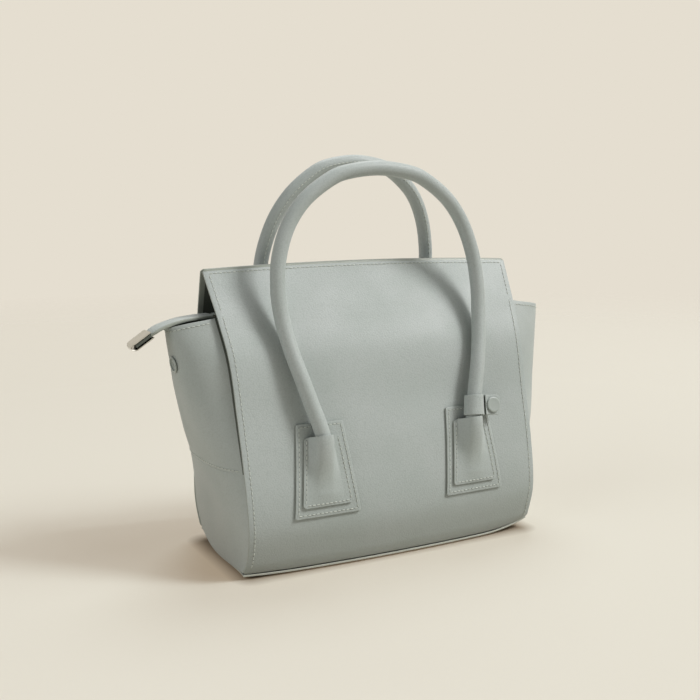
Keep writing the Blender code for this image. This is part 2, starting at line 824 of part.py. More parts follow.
def make_tube_ends(leather):
    """The lower end of each handle tube, pressed flat and sewn in under its tab."""
    least = tube_end_flat / (2 * tube_radius)
    turns = [2 * pi * i / tube_sides for i in range(tube_sides)]
    for word, side in (("front", -1), ("rear", 1)):
        for hand, end in (("left", -1), ("right", 1)):
            rings = []
            for share in [i / tab_rows for i in range(1, tab_rows + 1)]:
                z = mix(tab_low, tab_high, share)
                tall = flat_share(z, least)
                ring = []
                for a in turns:
                    out = tab_seat() + tall * (tube_stand + tube_radius * (1 + sin(a)))
                    ring.append(on_panel(side, end * patch_centre + tube_radius * cos(a), z, out))
                rings.append(ring)
            tube(f"{word}_{hand}_tube_end", rings, leather)


def handle_foot(side, end):
    """Middle of the tube where it leaves its tab, and the direction in which it leaves."""
    x = end * patch_centre
    foot = on_panel(side, x, tab_high, tab_seat() + tube_stand + tube_radius)
    out = panel_out(side, x / half_width(tab_high), tab_high)
    up = Vector((1, 0, 0)).cross(out).normalized()
    return foot, up if up.z > 0 else -up


def fold_axis(side):
    """A point on the top edge of the tabs, which a handle folds over."""
    return on_panel(side, patch_centre, tab_high, tab_seat() + tab_hump(0.0, tab_top_width / 2 - tab_margin))


def handle_points(side, rise, spread):
    """Points along the middle of a handle's tube, from the left tab over the top to the right."""
    start, up = handle_foot(side, 1)
    column = 1 if side < 0 else 2
    leg = []
    for row in handle_shares[1:]:
        y = side * (abs(start.y) - handle_lean * row[column + 2])
        leg.append(Vector((spread * row[column], y, start.z + rise * row[0])))
    leg = [start + up * gap] + leg
    other = [Vector((-p.x, p.y, p.z)) for p in leg]
    return other + leg[-2::-1]


def curve_through(points, count):
    """Evenly spaced points on a smooth curve through the given ones."""
    table = [(i, *point) for i, point in enumerate(points)]
    last = len(points) - 1
    fine = [
        Vector([smooth(table, last * i / (8 * last), column) for column in (1, 2, 3)])
        for i in range(8 * last + 1)
    ]
    lengths = [0.0]
    for a, b in zip(fine, fine[1:]):
        lengths.append(lengths[-1] + (b - a).length)
    line = []
    k = 0
    for i in range(count + 1):
        want = lengths[-1] * i / count
        while k < len(lengths) - 2 and lengths[k + 1] < want:
            k += 1
        line.append(fine[k].lerp(fine[k + 1], (want - lengths[k]) / (lengths[k + 1] - lengths[k])))
    return line


def ring_round(middle, along, radius, sides):
    u = along.cross(Vector((0, 1, 0))).normalized()
    v = along.cross(u).normalized()
    turns = [2 * pi * i / sides for i in range(sides)]
    return [middle + u * radius * cos(a) + v * radius * sin(a) for a in turns]


def handle_rings(side, line, radius, sides):
    """Rings along a handle; the first and the last are square to the tabs that they meet."""
    ways = [line[min(i + 1, len(line) - 1)] - line[max(i - 1, 0)] for i in range(len(line))]
    ways[0], ways[-1] = handle_foot(side, -1)[1], -handle_foot(side, 1)[1]
    return [ring_round(p, way.normalized(), radius, sides) for p, way in zip(line, ways)]


def make_handles(leather, rope):
    """A rolled leather sleeve round a rope core, for each handle."""
    sizes = (("front", -1, handle_rise, handle_spread), ("rear", 1, rear_handle_rise, rear_handle_spread))
    core_radius = tube_radius - sleeve_leather - gap
    for word, side, rise, spread in sizes:
        line = curve_through(handle_points(side, rise, spread), tube_steps)
        axis = fold_axis(side)
        axis.x = 0.0
        rings = handle_rings(side, line, tube_radius, tube_sides)
        origin_to(tube(word + "_handle_sleeve", rings, leather, sleeve_leather, 80), axis)
        rings = handle_rings(side, line, core_radius, core_sides)
        origin_to(tube(word + "_handle_core", rings, rope, 0.0, 80), axis)


def stud_frame(side, inset):
    """A frame on a wing's outer face whose Z points out of the bag."""
    z = fold_height - side_stud_drop
    across = -stud_forward / seam_point(1, z).y
    here = wing_point(side, across, z)
    up = wing_point(side, across, z + gap) - wing_point(side, across, z - gap)
    along = wing_point(side, across + gap, z) - wing_point(side, across - gap, z)
    out = along.cross(up).normalized()
    if out.x * side < 0:
        out.negate()
    return axes_at(here - out * inset, out, Vector((0, 1, 0)))


def stud_hole(word, side):
    radius = stud_post_radius + stud_post_clearance
    reach = gusset_leather + overrun
    profile = [(0, -reach), (radius, -reach), (radius, overrun), (0, overrun)]
    return turned(word + "_stud_hole", profile, stud_frame(side, 0.0), spare_finish(), 12)


def spare_finish():
    return bpy.data.materials.get("fibreboard")


def stud_cap_profile(post):
    """Dished press-stud cap with a post behind it."""
    rim = (stud_radius + stud_dish_radius) / 2
    return [
        (0, -post), (stud_post_radius, -post), (stud_post_radius, gap),
        (stud_radius - stud_height / 3, gap), (stud_radius, gap + stud_height / 3),
        (stud_radius, stud_height * 2 / 3), (rim, stud_height),
        (stud_dish_radius, stud_height - stud_dish / 3), (stud_dish_radius * 0.9, stud_height - stud_dish),
        (0, stud_height - stud_dish),
    ]


def make_side_studs(lacquer, metal):
    for word, side in (("left", -1), ("right", 1)):
        post = gusset_leather + stud_washer_gap + stud_washer
        turned(word + "_side_stud", stud_cap_profile(post), stud_frame(side, 0.0), lacquer)
        bore = stud_post_radius + gap
        top = -(gusset_leather + stud_washer_gap)
        profile = [(bore, top - stud_washer), (stud_washer_radius, top - stud_washer)]
        profile += [(stud_washer_radius, top), (bore, top)]
        turned(word + "_stud_washer", profile, stud_frame(side, 0.0), metal)


def leg_at(height):
    """Middle of the front handle's right leg, this high above its tab's mouth."""
    line = curve_through(handle_points(-1, handle_rise, handle_spread), tube_steps)
    leg = [p for p in reversed(line) if p.x > 0]
    z = leg[0].z + height
    low, high = next((a, b) for a, b in zip(leg, leg[1:]) if a.z <= z <= b.z)
    return low.lerp(high, (z - low.z) / (high.z - low.z))


def keeper_frame():
    """Frame at the strap's foot, Z up along it and X to its free end, and the leg's lean in it."""
    low, high = leg_at(keeper_lift), leg_at(keeper_lift + keeper_height)
    up = (high - low).normalized()
    lean = atan2(up.x, up.z) - radians(keeper_tilt)
    frame = axes_at(low, Matrix.Rotation(-lean, 3, "Y") @ up, Vector((1, 0, 0)))
    return frame @ Matrix.Translation((keeper_height / 2 * tan(lean), 0, 0)), lean


def keeper_sheet(name, outline, outward, leather):
    """A strap with this outline in the frame's XY plane, drawn up the leg."""
    frame = keeper_frame()[0]
    rows = [[frame @ Vector((x, y, z)) for x, y in outline] for z in (0.0, keeper_height)]
    return sheet(name, rows, keeper_leather, outward, leather)


def keeper_outline(lean):
    """The strap's outer face, from its rear free end round the leg to the pinch."""
    sway = keeper_height / 2 * tan(lean)
    outer = tube_radius + keeper_clearance + keeper_leather
    face = keeper_ply_gap / 2 + keeper_leather
    start, steps = radians(25), 7
    points = [(keeper_reach, face), (keeper_pinch, face)]
    for first, last, centre in ((start, pi / 2, sway), (pi / 2, 3 * pi / 2, -sway), (3 * pi / 2, 2 * pi - start, sway)):
        for i in range(steps + 1):
            a = mix(first, last, i / steps)
            points.append((centre + outer * cos(a), outer * sin(a)))
    return points + [(keeper_pinch, -face)]


def make_keeper(leather, lacquer, metal):
    """A strap looped round the leg, its two ends held together by a press stud."""
    frame, lean = keeper_frame()
    face = keeper_ply_gap / 2 + keeper_leather
    centre = frame.translation
    strap = keeper_sheet("keeper_loop", keeper_outline(lean), lambda p: p - centre, leather)
    plies = [(keeper_pinch + keeper_flap_start, -face), (keeper_reach, -face)]
    flap = keeper_sheet("keeper_flap", plies, lambda p: Vector((0, -1, 0)), leather)
    middle = Matrix.Translation((keeper_stud_place, 0, keeper_height / 2))
    stud = frame @ middle @ Matrix.Rotation(pi / 2, 4, "X")
    cap = turned("keeper_stud_cap", snap_cap_profile(), stud @ Matrix.Translation((0, 0, face)), lacquer)
    post = turned("keeper_stud_post", snap_post_profile(), stud, metal)
    for piece, radius, word in ((flap, keeper_socket_radius, "flap"), (strap, stud_post_radius + gap, "loop")):
        low, high = (0.0, face + overrun) if word == "flap" else (-face - overrun, 0.0)
        profile = [(0, low), (radius, low), (radius, high), (0, high)]
        cut(piece, turned(word + "_stud_hole", profile, stud, metal, 16))
    foot = frame.translation.copy()
    for made in (strap, post):
        origin_to(made, foot)
    hinge = frame @ Vector((keeper_pinch, -face, 0))
    for made in (flap, cap):
        origin_to(made, hinge)


def snap_cap_profile():
    """Low domed cap with a shallow dish."""
    rim = (stud_radius + stud_dish_radius) / 2
    return [
        (0, gap), (stud_radius - stud_height / 3, gap), (stud_radius, gap + stud_height / 3),
        (stud_radius, stud_height), (rim, stud_height + stud_dish / 2),
        (stud_dish_radius, stud_height), (0, stud_height),
    ]


def snap_post_profile():
    """Washer behind the rear ply, a post through it and the ball that the cap snaps over."""
    face = keeper_ply_gap / 2 + keeper_leather
    back = -face - gap
    ball = face - gap
    return [
        (0, back - stud_washer), (stud_washer_radius, back - stud_washer), (stud_washer_radius, back),
        (stud_post_radius, back), (stud_post_radius, 0.0), (keeper_ball_radius, ball / 2),
        (keeper_ball_radius, ball * 3 / 4), (keeper_ball_radius / 2, ball), (0, ball),
    ]


def build():
    clear_scene()
    leather = material("sage_grained_leather", (0.395, 0.425, 0.392), 0.55)
    gusset = material("sage_gusset_leather", (0.385, 0.415, 0.385), 0.58)
    edge = material("sage_base_leather", (0.36, 0.39, 0.355), 0.6)
    fibre = material("fibreboard", (0.22, 0.17, 0.12), 0.8)
    cloth = material("lining_cloth", (0.30, 0.31, 0.28), 0.85)
    tape = material("zip_tape_cloth", (0.33, 0.36, 0.33), 0.8)
    rope = material("rope_core", (0.75, 0.72, 0.64), 0.85)
    nickel = material("polished_nickel", (0.72, 0.72, 0.70), 0.18, 1.0)
    lacquer = material("lacquered_stud", (0.40, 0.43, 0.40), 0.35)
    make_panels(leather)
    make_upper_panels(leather)
    make_gussets(gusset)
    make_base(edge, fibre)
    make_boards(fibre)
    make_lining(cloth)
    make_zip_facings(leather)
    make_zip_tapes(tape)
    make_zip_teeth(nickel)
    make_zip_stops(nickel)
    make_slider(nickel)
    make_puller(nickel)
    make_zip_tail(leather, nickel)
    make_patches(leather)
    make_tube_ends(leather)
    make_tabs(leather)
    make_handles(leather, rope)
    make_side_studs(lacquer, nickel)
    make_keeper(leather, lacquer, nickel)


build()
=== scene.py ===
import math

import bpy
from mathutils import Matrix, Vector


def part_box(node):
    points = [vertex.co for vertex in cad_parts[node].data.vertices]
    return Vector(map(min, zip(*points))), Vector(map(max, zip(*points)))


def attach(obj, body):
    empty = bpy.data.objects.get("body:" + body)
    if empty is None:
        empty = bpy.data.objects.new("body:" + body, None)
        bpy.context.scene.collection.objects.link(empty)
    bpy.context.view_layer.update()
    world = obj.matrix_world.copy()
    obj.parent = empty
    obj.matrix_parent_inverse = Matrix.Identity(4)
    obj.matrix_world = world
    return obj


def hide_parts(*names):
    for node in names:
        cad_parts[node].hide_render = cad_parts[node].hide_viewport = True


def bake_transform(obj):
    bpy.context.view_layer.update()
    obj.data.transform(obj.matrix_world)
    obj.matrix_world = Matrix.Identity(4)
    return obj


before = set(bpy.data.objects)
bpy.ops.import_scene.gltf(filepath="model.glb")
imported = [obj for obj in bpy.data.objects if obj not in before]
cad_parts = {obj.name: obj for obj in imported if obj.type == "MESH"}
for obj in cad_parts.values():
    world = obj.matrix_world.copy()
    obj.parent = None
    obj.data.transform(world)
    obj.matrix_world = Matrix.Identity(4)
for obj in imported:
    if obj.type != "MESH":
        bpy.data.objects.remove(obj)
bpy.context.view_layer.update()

# metres and degrees throughout; +X is the right side of the bag, -Y its front
bag = {
    "foldHeight": 0.192, "ridgeHeight": 0.225, "ridgeCrown": 0.003, "waistHeight": 0.080,
    "mouthWidth": 0.266, "ridgeWidth": 0.2735, "depth": 0.123, "wingSpan": 0.337, "wingDip": 0.009,
    "bow": 0.007, "bowPower": 2.5, "creasePower": 3,
    "leather": 0.0015, "gussetLeather": 0.0012, "baseLeather": 0.0023,
    "gap": 0.0003, "lip": 0.0015, "groove": 0.0005, "allowance": 0.006,
    "foldRound": 0.010,                   # height over which the panel bends in at the mouth
    # the wings sit this much further in, behind the panels and from their edges ...
    "deepGroove": (0.0016, 0.0009),
    "deepFrom": 0.09, "deepRun": 0.05,    # ... from this height on, growing over this much more
    # (height, width, depth) shares of the panels' side seams
    "panelShares": (
        (0.00, 0.980, 0.801), (0.07, 0.957, 0.905), (0.21, 0.958, 1.000), (0.42, 0.963, 0.911),
        (0.63, 0.968, 0.755), (0.84, 0.978, 0.590), (1.00, 1.000, 0.350),
    ),
    # (height, left reach, right reach) shares of the wings' creases
    "creaseShares": (
        (0.00, 0.757, 0.757), (0.10, 0.768, 0.775), (0.24, 0.794, 0.812), (0.41, 0.835, 0.866),
        (0.53, 0.881, 0.917), (0.70, 0.931, 0.957), (0.81, 0.952, 0.978), (0.92, 0.973, 1.003),
        (1.00, 0.982, 1.020),
    ),
    # how far the soft corners of the base stand off the floor: (x side, y side): lift
    "cornerLifts": {(-1, -1): 0.0012, (1, -1): 0.0072, (-1, 1): 0.0085, (1, 1): 0.0060},
    "cornerTucks": {(-1, 1): 0.0042},     # the rear left corner is also pressed in
    "liftFade": 0.030,                    # the corners are level again this far up
    "cornerFrom": 0.62, "cornerPast": 0.15,      # shares of the half width and depth where a corner begins
    # hand-made unevenness: its depth, the height where it is full, and radians a metre of its waves
    "ripple": 0.00035, "rippleRise": 0.03, "rippleWaves": (41, 23, 57, 19), "ripplePhase": 1.3,
    "probe": 0.0004,                      # step for measuring which way a surface faces
}


# ---- shape of the leather shell, the same as the CAD's
def curveValue(table, at, column):
    last = len(table) - 1
    i = 0
    while i < last - 1 and at > table[i + 1][0]:
        i += 1
    left, right = table[i], table[i + 1]
    before, after = table[max(i - 1, 0)], table[min(i + 2, last)]
    run = right[0] - left[0]
    slopeIn = (right[column] - before[column]) / (right[0] - before[0])
    slopeOut = (after[column] - left[column]) / (after[0] - left[0])
    t = (at - left[0]) / run
    value = left[column] * (2 * t**3 - 3 * t**2 + 1) + right[column] * (3 * t**2 - 2 * t**3)
    return value + slopeIn * run * (t**3 - 2 * t**2 + t) + slopeOut * run * (t**3 - t**2)


def mixed(a, b, t):
    return a + (b - a) * t


def clamped(t):
    return min(1.0, max(0.0, t))


def eased(t):
    t = clamped(t)
    return t * t * (3 - 2 * t)


def spaced(count):
    return [i / count for i in range(count + 1)]


def upperShare(z):
    return (z - bag["foldHeight"]) / (bag["ridgeHeight"] - bag["foldHeight"])


def halfWidth(z):
    if z <= bag["foldHeight"]:
        return bag["mouthWidth"] / 2 * curveValue(bag["panelShares"], z / bag["foldHeight"], 1)
    return mixed(bag["mouthWidth"], bag["ridgeWidth"], upperShare(z)) / 2


def sharpDepth(z):
    if z <= bag["foldHeight"]:
        return bag["depth"] / 2 * curveValue(bag["panelShares"], z / bag["foldHeight"], 2)
    return mixed(bag["depth"] / 2 * bag["panelShares"][-1][2], bag["leather"] + bag["gap"], upperShare(z))


def halfDepth(z):
    # the fold at the mouth is soft, not a crease
    reach = max(0.0, bag["foldRound"] - abs(z - bag["foldHeight"])) / 2
    return (sharpDepth(z - reach) + 2 * sharpDepth(z) + sharpDepth(z + reach)) / 4


def bow(z):
    return bag["bow"] * max(0.0, 1 - z / bag["foldHeight"]) ** bag["bowPower"]


def aboveWaist(z):
    return eased((z - bag["deepFrom"]) / bag["deepRun"])


def crownAt(z, across):
    return bag["ridgeCrown"] * max(0.0, upperShare(z)) * (1 - across**2)


def cornerLift(x, y, z, key="cornerLifts"):
    halfX, halfY = halfWidth(0), bag["depth"] / 2 * bag["panelShares"][0][2]
    total = 0.0
    for (signX, signY), lift in bag[key].items():
        nearX = clamped((signX * x / halfX - bag["cornerFrom"]) / (1 - bag["cornerFrom"]))
        nearY = clamped(signY * y / halfY + bag["cornerPast"])
        total += lift * nearX**2 * nearY**2
    return total * max(0.0, 1 - z / bag["liftFade"]) ** 2


def ripple(x, z):
    a, b, c, d = bag["rippleWaves"]
    wave = math.sin(a * x + b * z + bag["ripplePhase"]) * math.sin(c * z - d * x)
    return bag["ripple"] * wave * min(1.0, z / bag["rippleRise"])


def panelFace(side, across, z):
    x = across * halfWidth(z)
    y = side * (halfDepth(z) + bow(z) * (1 - across**2) + ripple(x, z) * (1 - across**4))
    return Vector((x + cornerLift(x, y, z, "cornerTucks"), y, z + crownAt(z, across) + cornerLift(x, y, z)))


def outOf(place, a, z, towards, step=bag["probe"]):
    # the direction out of the surface place(a, z), on the side that looks towards
    along = place(a + step, z) - place(a - step, z)
    out = along.cross(place(a, z + step) - place(a, z - step)).normalized()
    return out if out.dot(towards) > 0 else -out


def panelOut(side, across, z):
    def place(a, height):
        return panelFace(side, a, min(max(height, 0.0), bag["ridgeHeight"]))

    return outOf(place, across, z, Vector((0, side, 0)))


def panelPoint(side, across, z, inset):
    return panelFace(side, across, z) - panelOut(side, across, z) * inset


def onPanel(side, x, z, out):
    return panelPoint(side, x / halfWidth(z), z, -out)


def creaseReach(side, z):
    column = 1 if side < 0 else 2
    return bag["wingSpan"] / 2 * curveValue(bag["creaseShares"], z / bag["foldHeight"], column)


def seamPoint(side, end, z, inward=0.0):
    deep = aboveWaist(z)
    behind, within = bag["deepGroove"]
    across = side * (1 - (bag["lip"] + inward + within * deep) / halfWidth(z))
    return panelPoint(end, across, z, bag["leather"] + bag["gap"] + bag["groove"] + behind * deep)


def wingPoint(side, across, z):
    end = -1 if across < 0 else 1
    if abs(across) > 1:      # the allowance turned in behind the panel
        return seamPoint(side, end, z, bag["allowance"] * (abs(across) - 1) / wing["turnIn"])
    seam = seamPoint(side, end, z)
    drop = abs(across) ** bag["creasePower"]
    x = mixed(creaseReach(side, z), abs(seam.x), drop)
    y = abs(across) * seam.y
    return Vector((side * x, y, mixed(z + cornerLift(side * x, y, z), seam.z, drop)))


def wingOut(side, across, z):
    return outOf(lambda a, height: wingPoint(side, a, height), across, z, Vector((side, 0, 0)))


def wingTop(across):
    return bag["foldHeight"] - bag["wingDip"] * (1 - min(1.0, across**2))


# ---- finishes
def srgb(code):
    parts = [int(code[i:i + 2], 16) / 255 for i in (1, 3, 5)]
    return (*[p / 12.92 if p <= 0.04045 else ((p + 0.055) / 1.055) ** 2.4 for p in parts], 1.0)


def addNode(tree, kind, inputs={}, **settings):
    node = tree.nodes.new("ShaderNode" + kind)
    for key, value in settings.items():
        setattr(node, key, value)
    for socket, value in inputs.items():
        if isinstance(value, bpy.types.NodeSocket):
            tree.links.new(value, node.inputs[socket])
        else:
            node.inputs[socket].default_value = value
    return node


def newFinish(name, roughness, metallic=0.0):
    made = bpy.data.materials.new(name)
    made.use_nodes = True
    tree = made.node_tree
    shader = tree.nodes["Principled BSDF"]
    shader.inputs["Roughness"].default_value = roughness
    shader.inputs["Metallic"].default_value = metallic
    return made, tree, shader, addNode(tree, "TexCoord").outputs["Object"]


def mixColours(tree, share, first, second):
    return addNode(tree, "Mix", {0: share, 6: first, 7: second}, data_type="RGBA").outputs[2]


def ranged(tree, value, low, high, outLow, outHigh):
    inputs = {"Value": value, "From Min": low, "From Max": high, "To Min": outLow, "To Max": outHigh}
    return addNode(tree, "MapRange", inputs).outputs["Result"]


def addBump(tree, shader, height, strength, distance):
    bump = addNode(tree, "Bump", {"Strength": strength, "Distance": distance, "Height": height})
    tree.links.new(bump.outputs["Normal"], shader.inputs["Normal"])


calf = {"pebble": 0.0011, "smoothness": 0.35, "wobble": 0.0006, "grainScale": 900.0, "cloudScale": 26.0,
        "depth": 0.00022, "paintedShadeFrom": 0.075, "specular": 0.4, "sheen": 0.12, "sheenRoughness": 0.45,
        # the parts of each texture's range that count, and how far the clouds change the roughness
        "clouds": (0.35, 0.65), "valleys": (0.35, 0.8), "sheenClouds": (0.3, 0.7),
        "roughSpread": (-0.05, 0.06)}


def pebbledLeather(name, tones, valleyShare, roughness, relief, pebble=calf["pebble"], low=None):
    # Drum-dyed calf, embossed with a fine pebble and sprayed matt: soft wide highlights,
    # a slightly darker tone in the valleys, faint clouds where the dye took unevenly.
    made, tree, shader, place = newFinish(name, roughness)
    grain = addNode(tree, "TexNoise", {"Vector": place, "Scale": calf["grainScale"], "Detail": 1.0})
    bent = addNode(tree, "MixRGB", {"Fac": calf["wobble"], "Color1": place, "Color2": grain.outputs["Color"]})
    cells = {"Vector": bent.outputs[0], "Scale": 1 / pebble, "Smoothness": calf["smoothness"]}
    pebbles = addNode(tree, "TexVoronoi", cells, feature="SMOOTH_F1").outputs["Distance"]
    unevenDye = {"Vector": place, "Scale": calf["cloudScale"], "Detail": 3.0}
    clouds = addNode(tree, "TexNoise", unevenDye).outputs["Fac"]
    colour, cloud, valley = (srgb(code) for code in tones)
    tone = mixColours(tree, ranged(tree, clouds, *calf["clouds"], 0.0, 1.0), colour, cloud)
    tone = mixColours(tree, ranged(tree, pebbles, *calf["valleys"], 0.0, valleyShare), tone, valley)
    if low:      # painted shade: the colour darkens towards the base, standing in for the shade low on the bag
        height = addNode(tree, "SeparateXYZ", {"Vector": place}).outputs["Z"]
        tone = mixColours(tree, ranged(tree, height, calf["paintedShadeFrom"], 0.0, 0.0, low[1]), tone, srgb(low[0]))
    tree.links.new(tone, shader.inputs["Base Color"])
    rough = [roughness + more for more in calf["roughSpread"]]
    tree.links.new(ranged(tree, clouds, *calf["sheenClouds"], *rough), shader.inputs["Roughness"])
    height = addNode(tree, "Math", {0: pebbles, 1: -1.0, 2: grain.outputs["Fac"]}, operation="MULTIPLY_ADD")
    addBump(tree, shader, height.outputs[0], relief, calf["depth"])
    shader.inputs["Specular IOR Level"].default_value = calf["specular"]
    shader.inputs["Sheen Weight"].default_value = calf["sheen"]
    shader.inputs["Sheen Roughness"].default_value = calf["sheenRoughness"]
    return made


def evenFinish(name, colours, scale, roughness, detail=2.0, relief=0.0, depth=0.0001, metallic=0.0, haze=0.0,
               twisted=False):
    # two close tones, mixed by a fine noise (or by the lay of a twisted thread) that also gives the relief
    made, tree, shader, place = newFinish(name, roughness, metallic)
    inputs = {"Vector": place, "Scale": scale, "Detail": detail}
    if twisted:
        texture = addNode(tree, "TexWave", inputs, bands_direction="DIAGONAL")
    else:
        texture = addNode(tree, "TexNoise", inputs)
    share = texture.outputs["Fac"]
    tree.links.new(mixColours(tree, share, srgb(colours[0]), srgb(colours[1])), shader.inputs["Base Color"])
    if relief:
        addBump(tree, shader, share, relief, depth)
    if haze:
        tree.links.new(ranged(tree, share, 0.3, 0.7, roughness, roughness + haze), shader.inputs["Roughness"])
    return made


clothWave = 0.314      # the wave texture's scale that lays one thread a metre


def wovenCloth(name, colours, thread, relief):
    # Plain woven cloth: two sets of threads, each crossing darker where it dives under.
    made, tree, shader, place = newFinish(name, 0.85)
    inputs = {"Vector": place, "Scale": clothWave / thread, "Distortion": 0.4, "Detail": 1.0}
    sets = [addNode(tree, "TexWave", inputs, bands_direction=way).outputs["Fac"] for way in ("X", "Z")]
    weave = addNode(tree, "Math", dict(enumerate(sets)), operation="MAXIMUM").outputs[0]
    tree.links.new(mixColours(tree, weave, srgb(colours[0]), srgb(colours[1])), shader.inputs["Base Color"])
    addBump(tree, shader, weave, relief, thread / 3)
    return made


shadedNap = {"colours": ("#4A4E47", "#5D625A"), "scale": 700.0, "roughness": 0.92, "detail": 4.0, "relief": 0.4,
          "depth": 0.0002}
painted = {"scale": 320.0, "roughness": 0.42, "relief": 0.25}
finishes = {
    # (colour, clouds, valleys), then the share of the valleys, the roughness and the relief
    "leather": pebbledLeather("sageCalf", ("#A9AFAC", "#A4ABA7", "#8A928E"), 0.28, 0.52, 0.35,
                              # its low tone is painted shade: the colour darkens towards the base
                              low=("#7A8079", 0.42)),
    "gusset": pebbledLeather("sageGussetCalf", ("#A7ADA9", "#A1A8A4", "#8C9189"), 0.25, 0.56, 0.3),
    "base": pebbledLeather("sageBaseCalf", ("#B7BAB0", "#B1B4A9", "#9A9E94"), 0.3, 0.55, 0.3, pebble=0.0012),
    # edge paint on cut leather: smooth, glossier than the grain; darker on the ridge. Beside the wings a dark tone is
    # painted shade in the crevice
    "edge": evenFinish("sageEdgePaint", ("#9CA198", "#8F958C"), **painted),
    "ridge": evenFinish("burnishedRidge", ("#858B80", "#787E73"), **painted),
    "creviceShade": evenFinish("paintedCreviceShade", ("#4C514A", "#444942"), **painted),
    # flesh side of the leather: suede nap without any shine, in a dark tone that is painted shade for the inside of
    # the bag; needle holes take the same dark tone as painted shade in the holes
    "shadedBacking": evenFinish("shadedFleshSide", **shadedNap),
    "hole": evenFinish("shadedNeedleHole", **shadedNap),
    # bonded polyester thread in the leather's own tone: the twist catches a little light
    "thread": evenFinish("bondedThread", ("#B4B9B0", "#D0D4CB"), 900.0, 0.5, twisted=True),
    # press-stud cap lacquered in the leather's colour: satin, a hint of orange peel
    "lacquer": evenFinish("lacqueredCap", ("#979E99", "#A1A8A3"), 600.0, 0.45, detail=1.0, relief=0.12),
    # nickel plate over die-cast zinc: mirror-like, with the faint haze of handling
    "nickel": evenFinish("nickelPlate", ("#C9C7C0", "#B9B7B0"), 240.0, 0.14, detail=4.0, metallic=1.0,
                         haze=0.12),
    # pressed fibreboard, seen only if the shell is taken apart: brown, felted, matt
    "board": evenFinish("fibreboard", ("#6D5E4B", "#8B7A63"), 420.0, 0.9, detail=6.0),
    "lining": wovenCloth("liningTwill", ("#7E8279", "#969A90"), 0.0007, 0.3),
    "tape": wovenCloth("zipTape", ("#888E85", "#A0A59C"), 0.0008, 0.35),
    "rope": wovenCloth("cottonRope", ("#CFC8B6", "#E2DCCB"), 0.0011, 0.5),
}
print("finishes ready")


# ---- modelling helpers
merge = 0.00002      # points closer than this are one point


def deselect():
    if bpy.context.object and bpy.context.object.mode != "OBJECT":
        bpy.ops.object.mode_set(mode="OBJECT")
    bpy.ops.object.select_all(action="DESELECT")


def makeActive(piece):
    deselect()
    piece.select_set(True)
    bpy.context.view_layer.objects.active = piece


def edited(piece, *steps, start="SELECT"):
    # runs edit-mode operators on a piece, each given as (operator, settings)
    makeActive(piece)
    bpy.ops.object.mode_set(mode="EDIT")
    if start:
        bpy.ops.mesh.select_all(action=start)
    for operator, settings in steps:
        operator(**settings)
    bpy.ops.object.mode_set(mode="OBJECT")


allOfIt = (bpy.ops.mesh.select_all, {"action": "SELECT"})
recalculated = (bpy.ops.mesh.normals_make_consistent, {"inside": False})


def applyModifier(piece, kind, **settings):
    modifier = piece.modifiers.new(kind, kind)
    for key, value in settings.items():
        setattr(modifier, key, value)
    makeActive(piece)
    bpy.ops.object.modifier_apply(modifier=modifier.name)


def roundEdges(piece, width, segments=2, angle=50):
    applyModifier(piece, "BEVEL", width=width, segments=segments, limit_method="ANGLE",
                  angle_limit=math.radians(angle))


def smoothShade(piece, angle):
    makeActive(piece)
    bpy.ops.object.shade_smooth_by_angle(angle=math.radians(angle))


def faceOutwards(piece, outward):
    total = sum(face.normal.dot(outward(face.center)) * face.area for face in piece.data.polygons)
    if total < 0:
        piece.data.flip_normals()


def gridPiece(name, columns, rows, place, wrapped=False):
    # a flat grid laid on the surface that place(u, v) gives; wrapped closes it round into a tube
    deselect()
    bpy.ops.mesh.primitive_grid_add(x_subdivisions=columns, y_subdivisions=rows, size=1, location=(0, 0, 0))
    piece = bpy.context.object
    piece.name = piece.data.name = name
    for vertex in piece.data.vertices:
        vertex.co = place(vertex.co.x + 0.5, vertex.co.y + 0.5)
    if wrapped:
        edited(piece, (bpy.ops.mesh.remove_doubles, {"threshold": merge}),
               (bpy.ops.mesh.fill_holes, {"sides": 0}), allOfIt, recalculated)
    return piece


def makeLeatherSheet(piece, wall, outward, rounding, outer="leather", rim="edge"):
    # a cut piece of leather: grain outside, flesh side inside in its dark painted-shade tone, painted edge
    faceOutwards(piece, outward)
    for key in (outer, rim, "shadedBacking"):
        piece.data.materials.append(finishes[key])
    applyModifier(piece, "SOLIDIFY", thickness=wall, offset=-1.0, use_even_offset=True,
                  material_offset_rim=1, material_offset=2)
    roundEdges(piece, rounding)
    smoothShade(piece, 45)


def dress(piece, body, nodes=(), finish=None):
    if finish:
        piece.data.materials.clear()
        piece.data.materials.append(finishes[finish])
    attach(piece, body)
    if nodes:
        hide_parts(*nodes)
    return piece


def linkedMesh(name, points, faces):
    mesh = bpy.data.meshes.new(name)
    mesh.from_pydata(points, [], faces)
    made = bpy.data.objects.new(name, mesh)
    bpy.context.scene.collection.objects.link(made)
    return made


def takenShape(made):
    # the points and faces of a model that will be copied many times
    points = [vertex.co.copy() for vertex in made.data.vertices]
    faces = [tuple(face.vertices) for face in made.data.polygons]
    bpy.data.objects.remove(made, do_unlink=True)
    return points, faces


def addCopy(points, faces, shape, seat):
    first = len(points)
    points += [seat @ p for p in shape[0]]
    faces += [tuple(first + i for i in face) for face in shape[1]]


def frameAt(place, up, along):
    z = up.normalized()
    y = z.cross(along).normalized()
    return Matrix.Translation(place) @ Matrix((y.cross(z), y, z)).transposed().to_4x4()


def lengthsAlong(points):
    lengths = [0.0]
    for a, b in zip(points, points[1:]):
        lengths.append(lengths[-1] + (b - a).length)
    return lengths


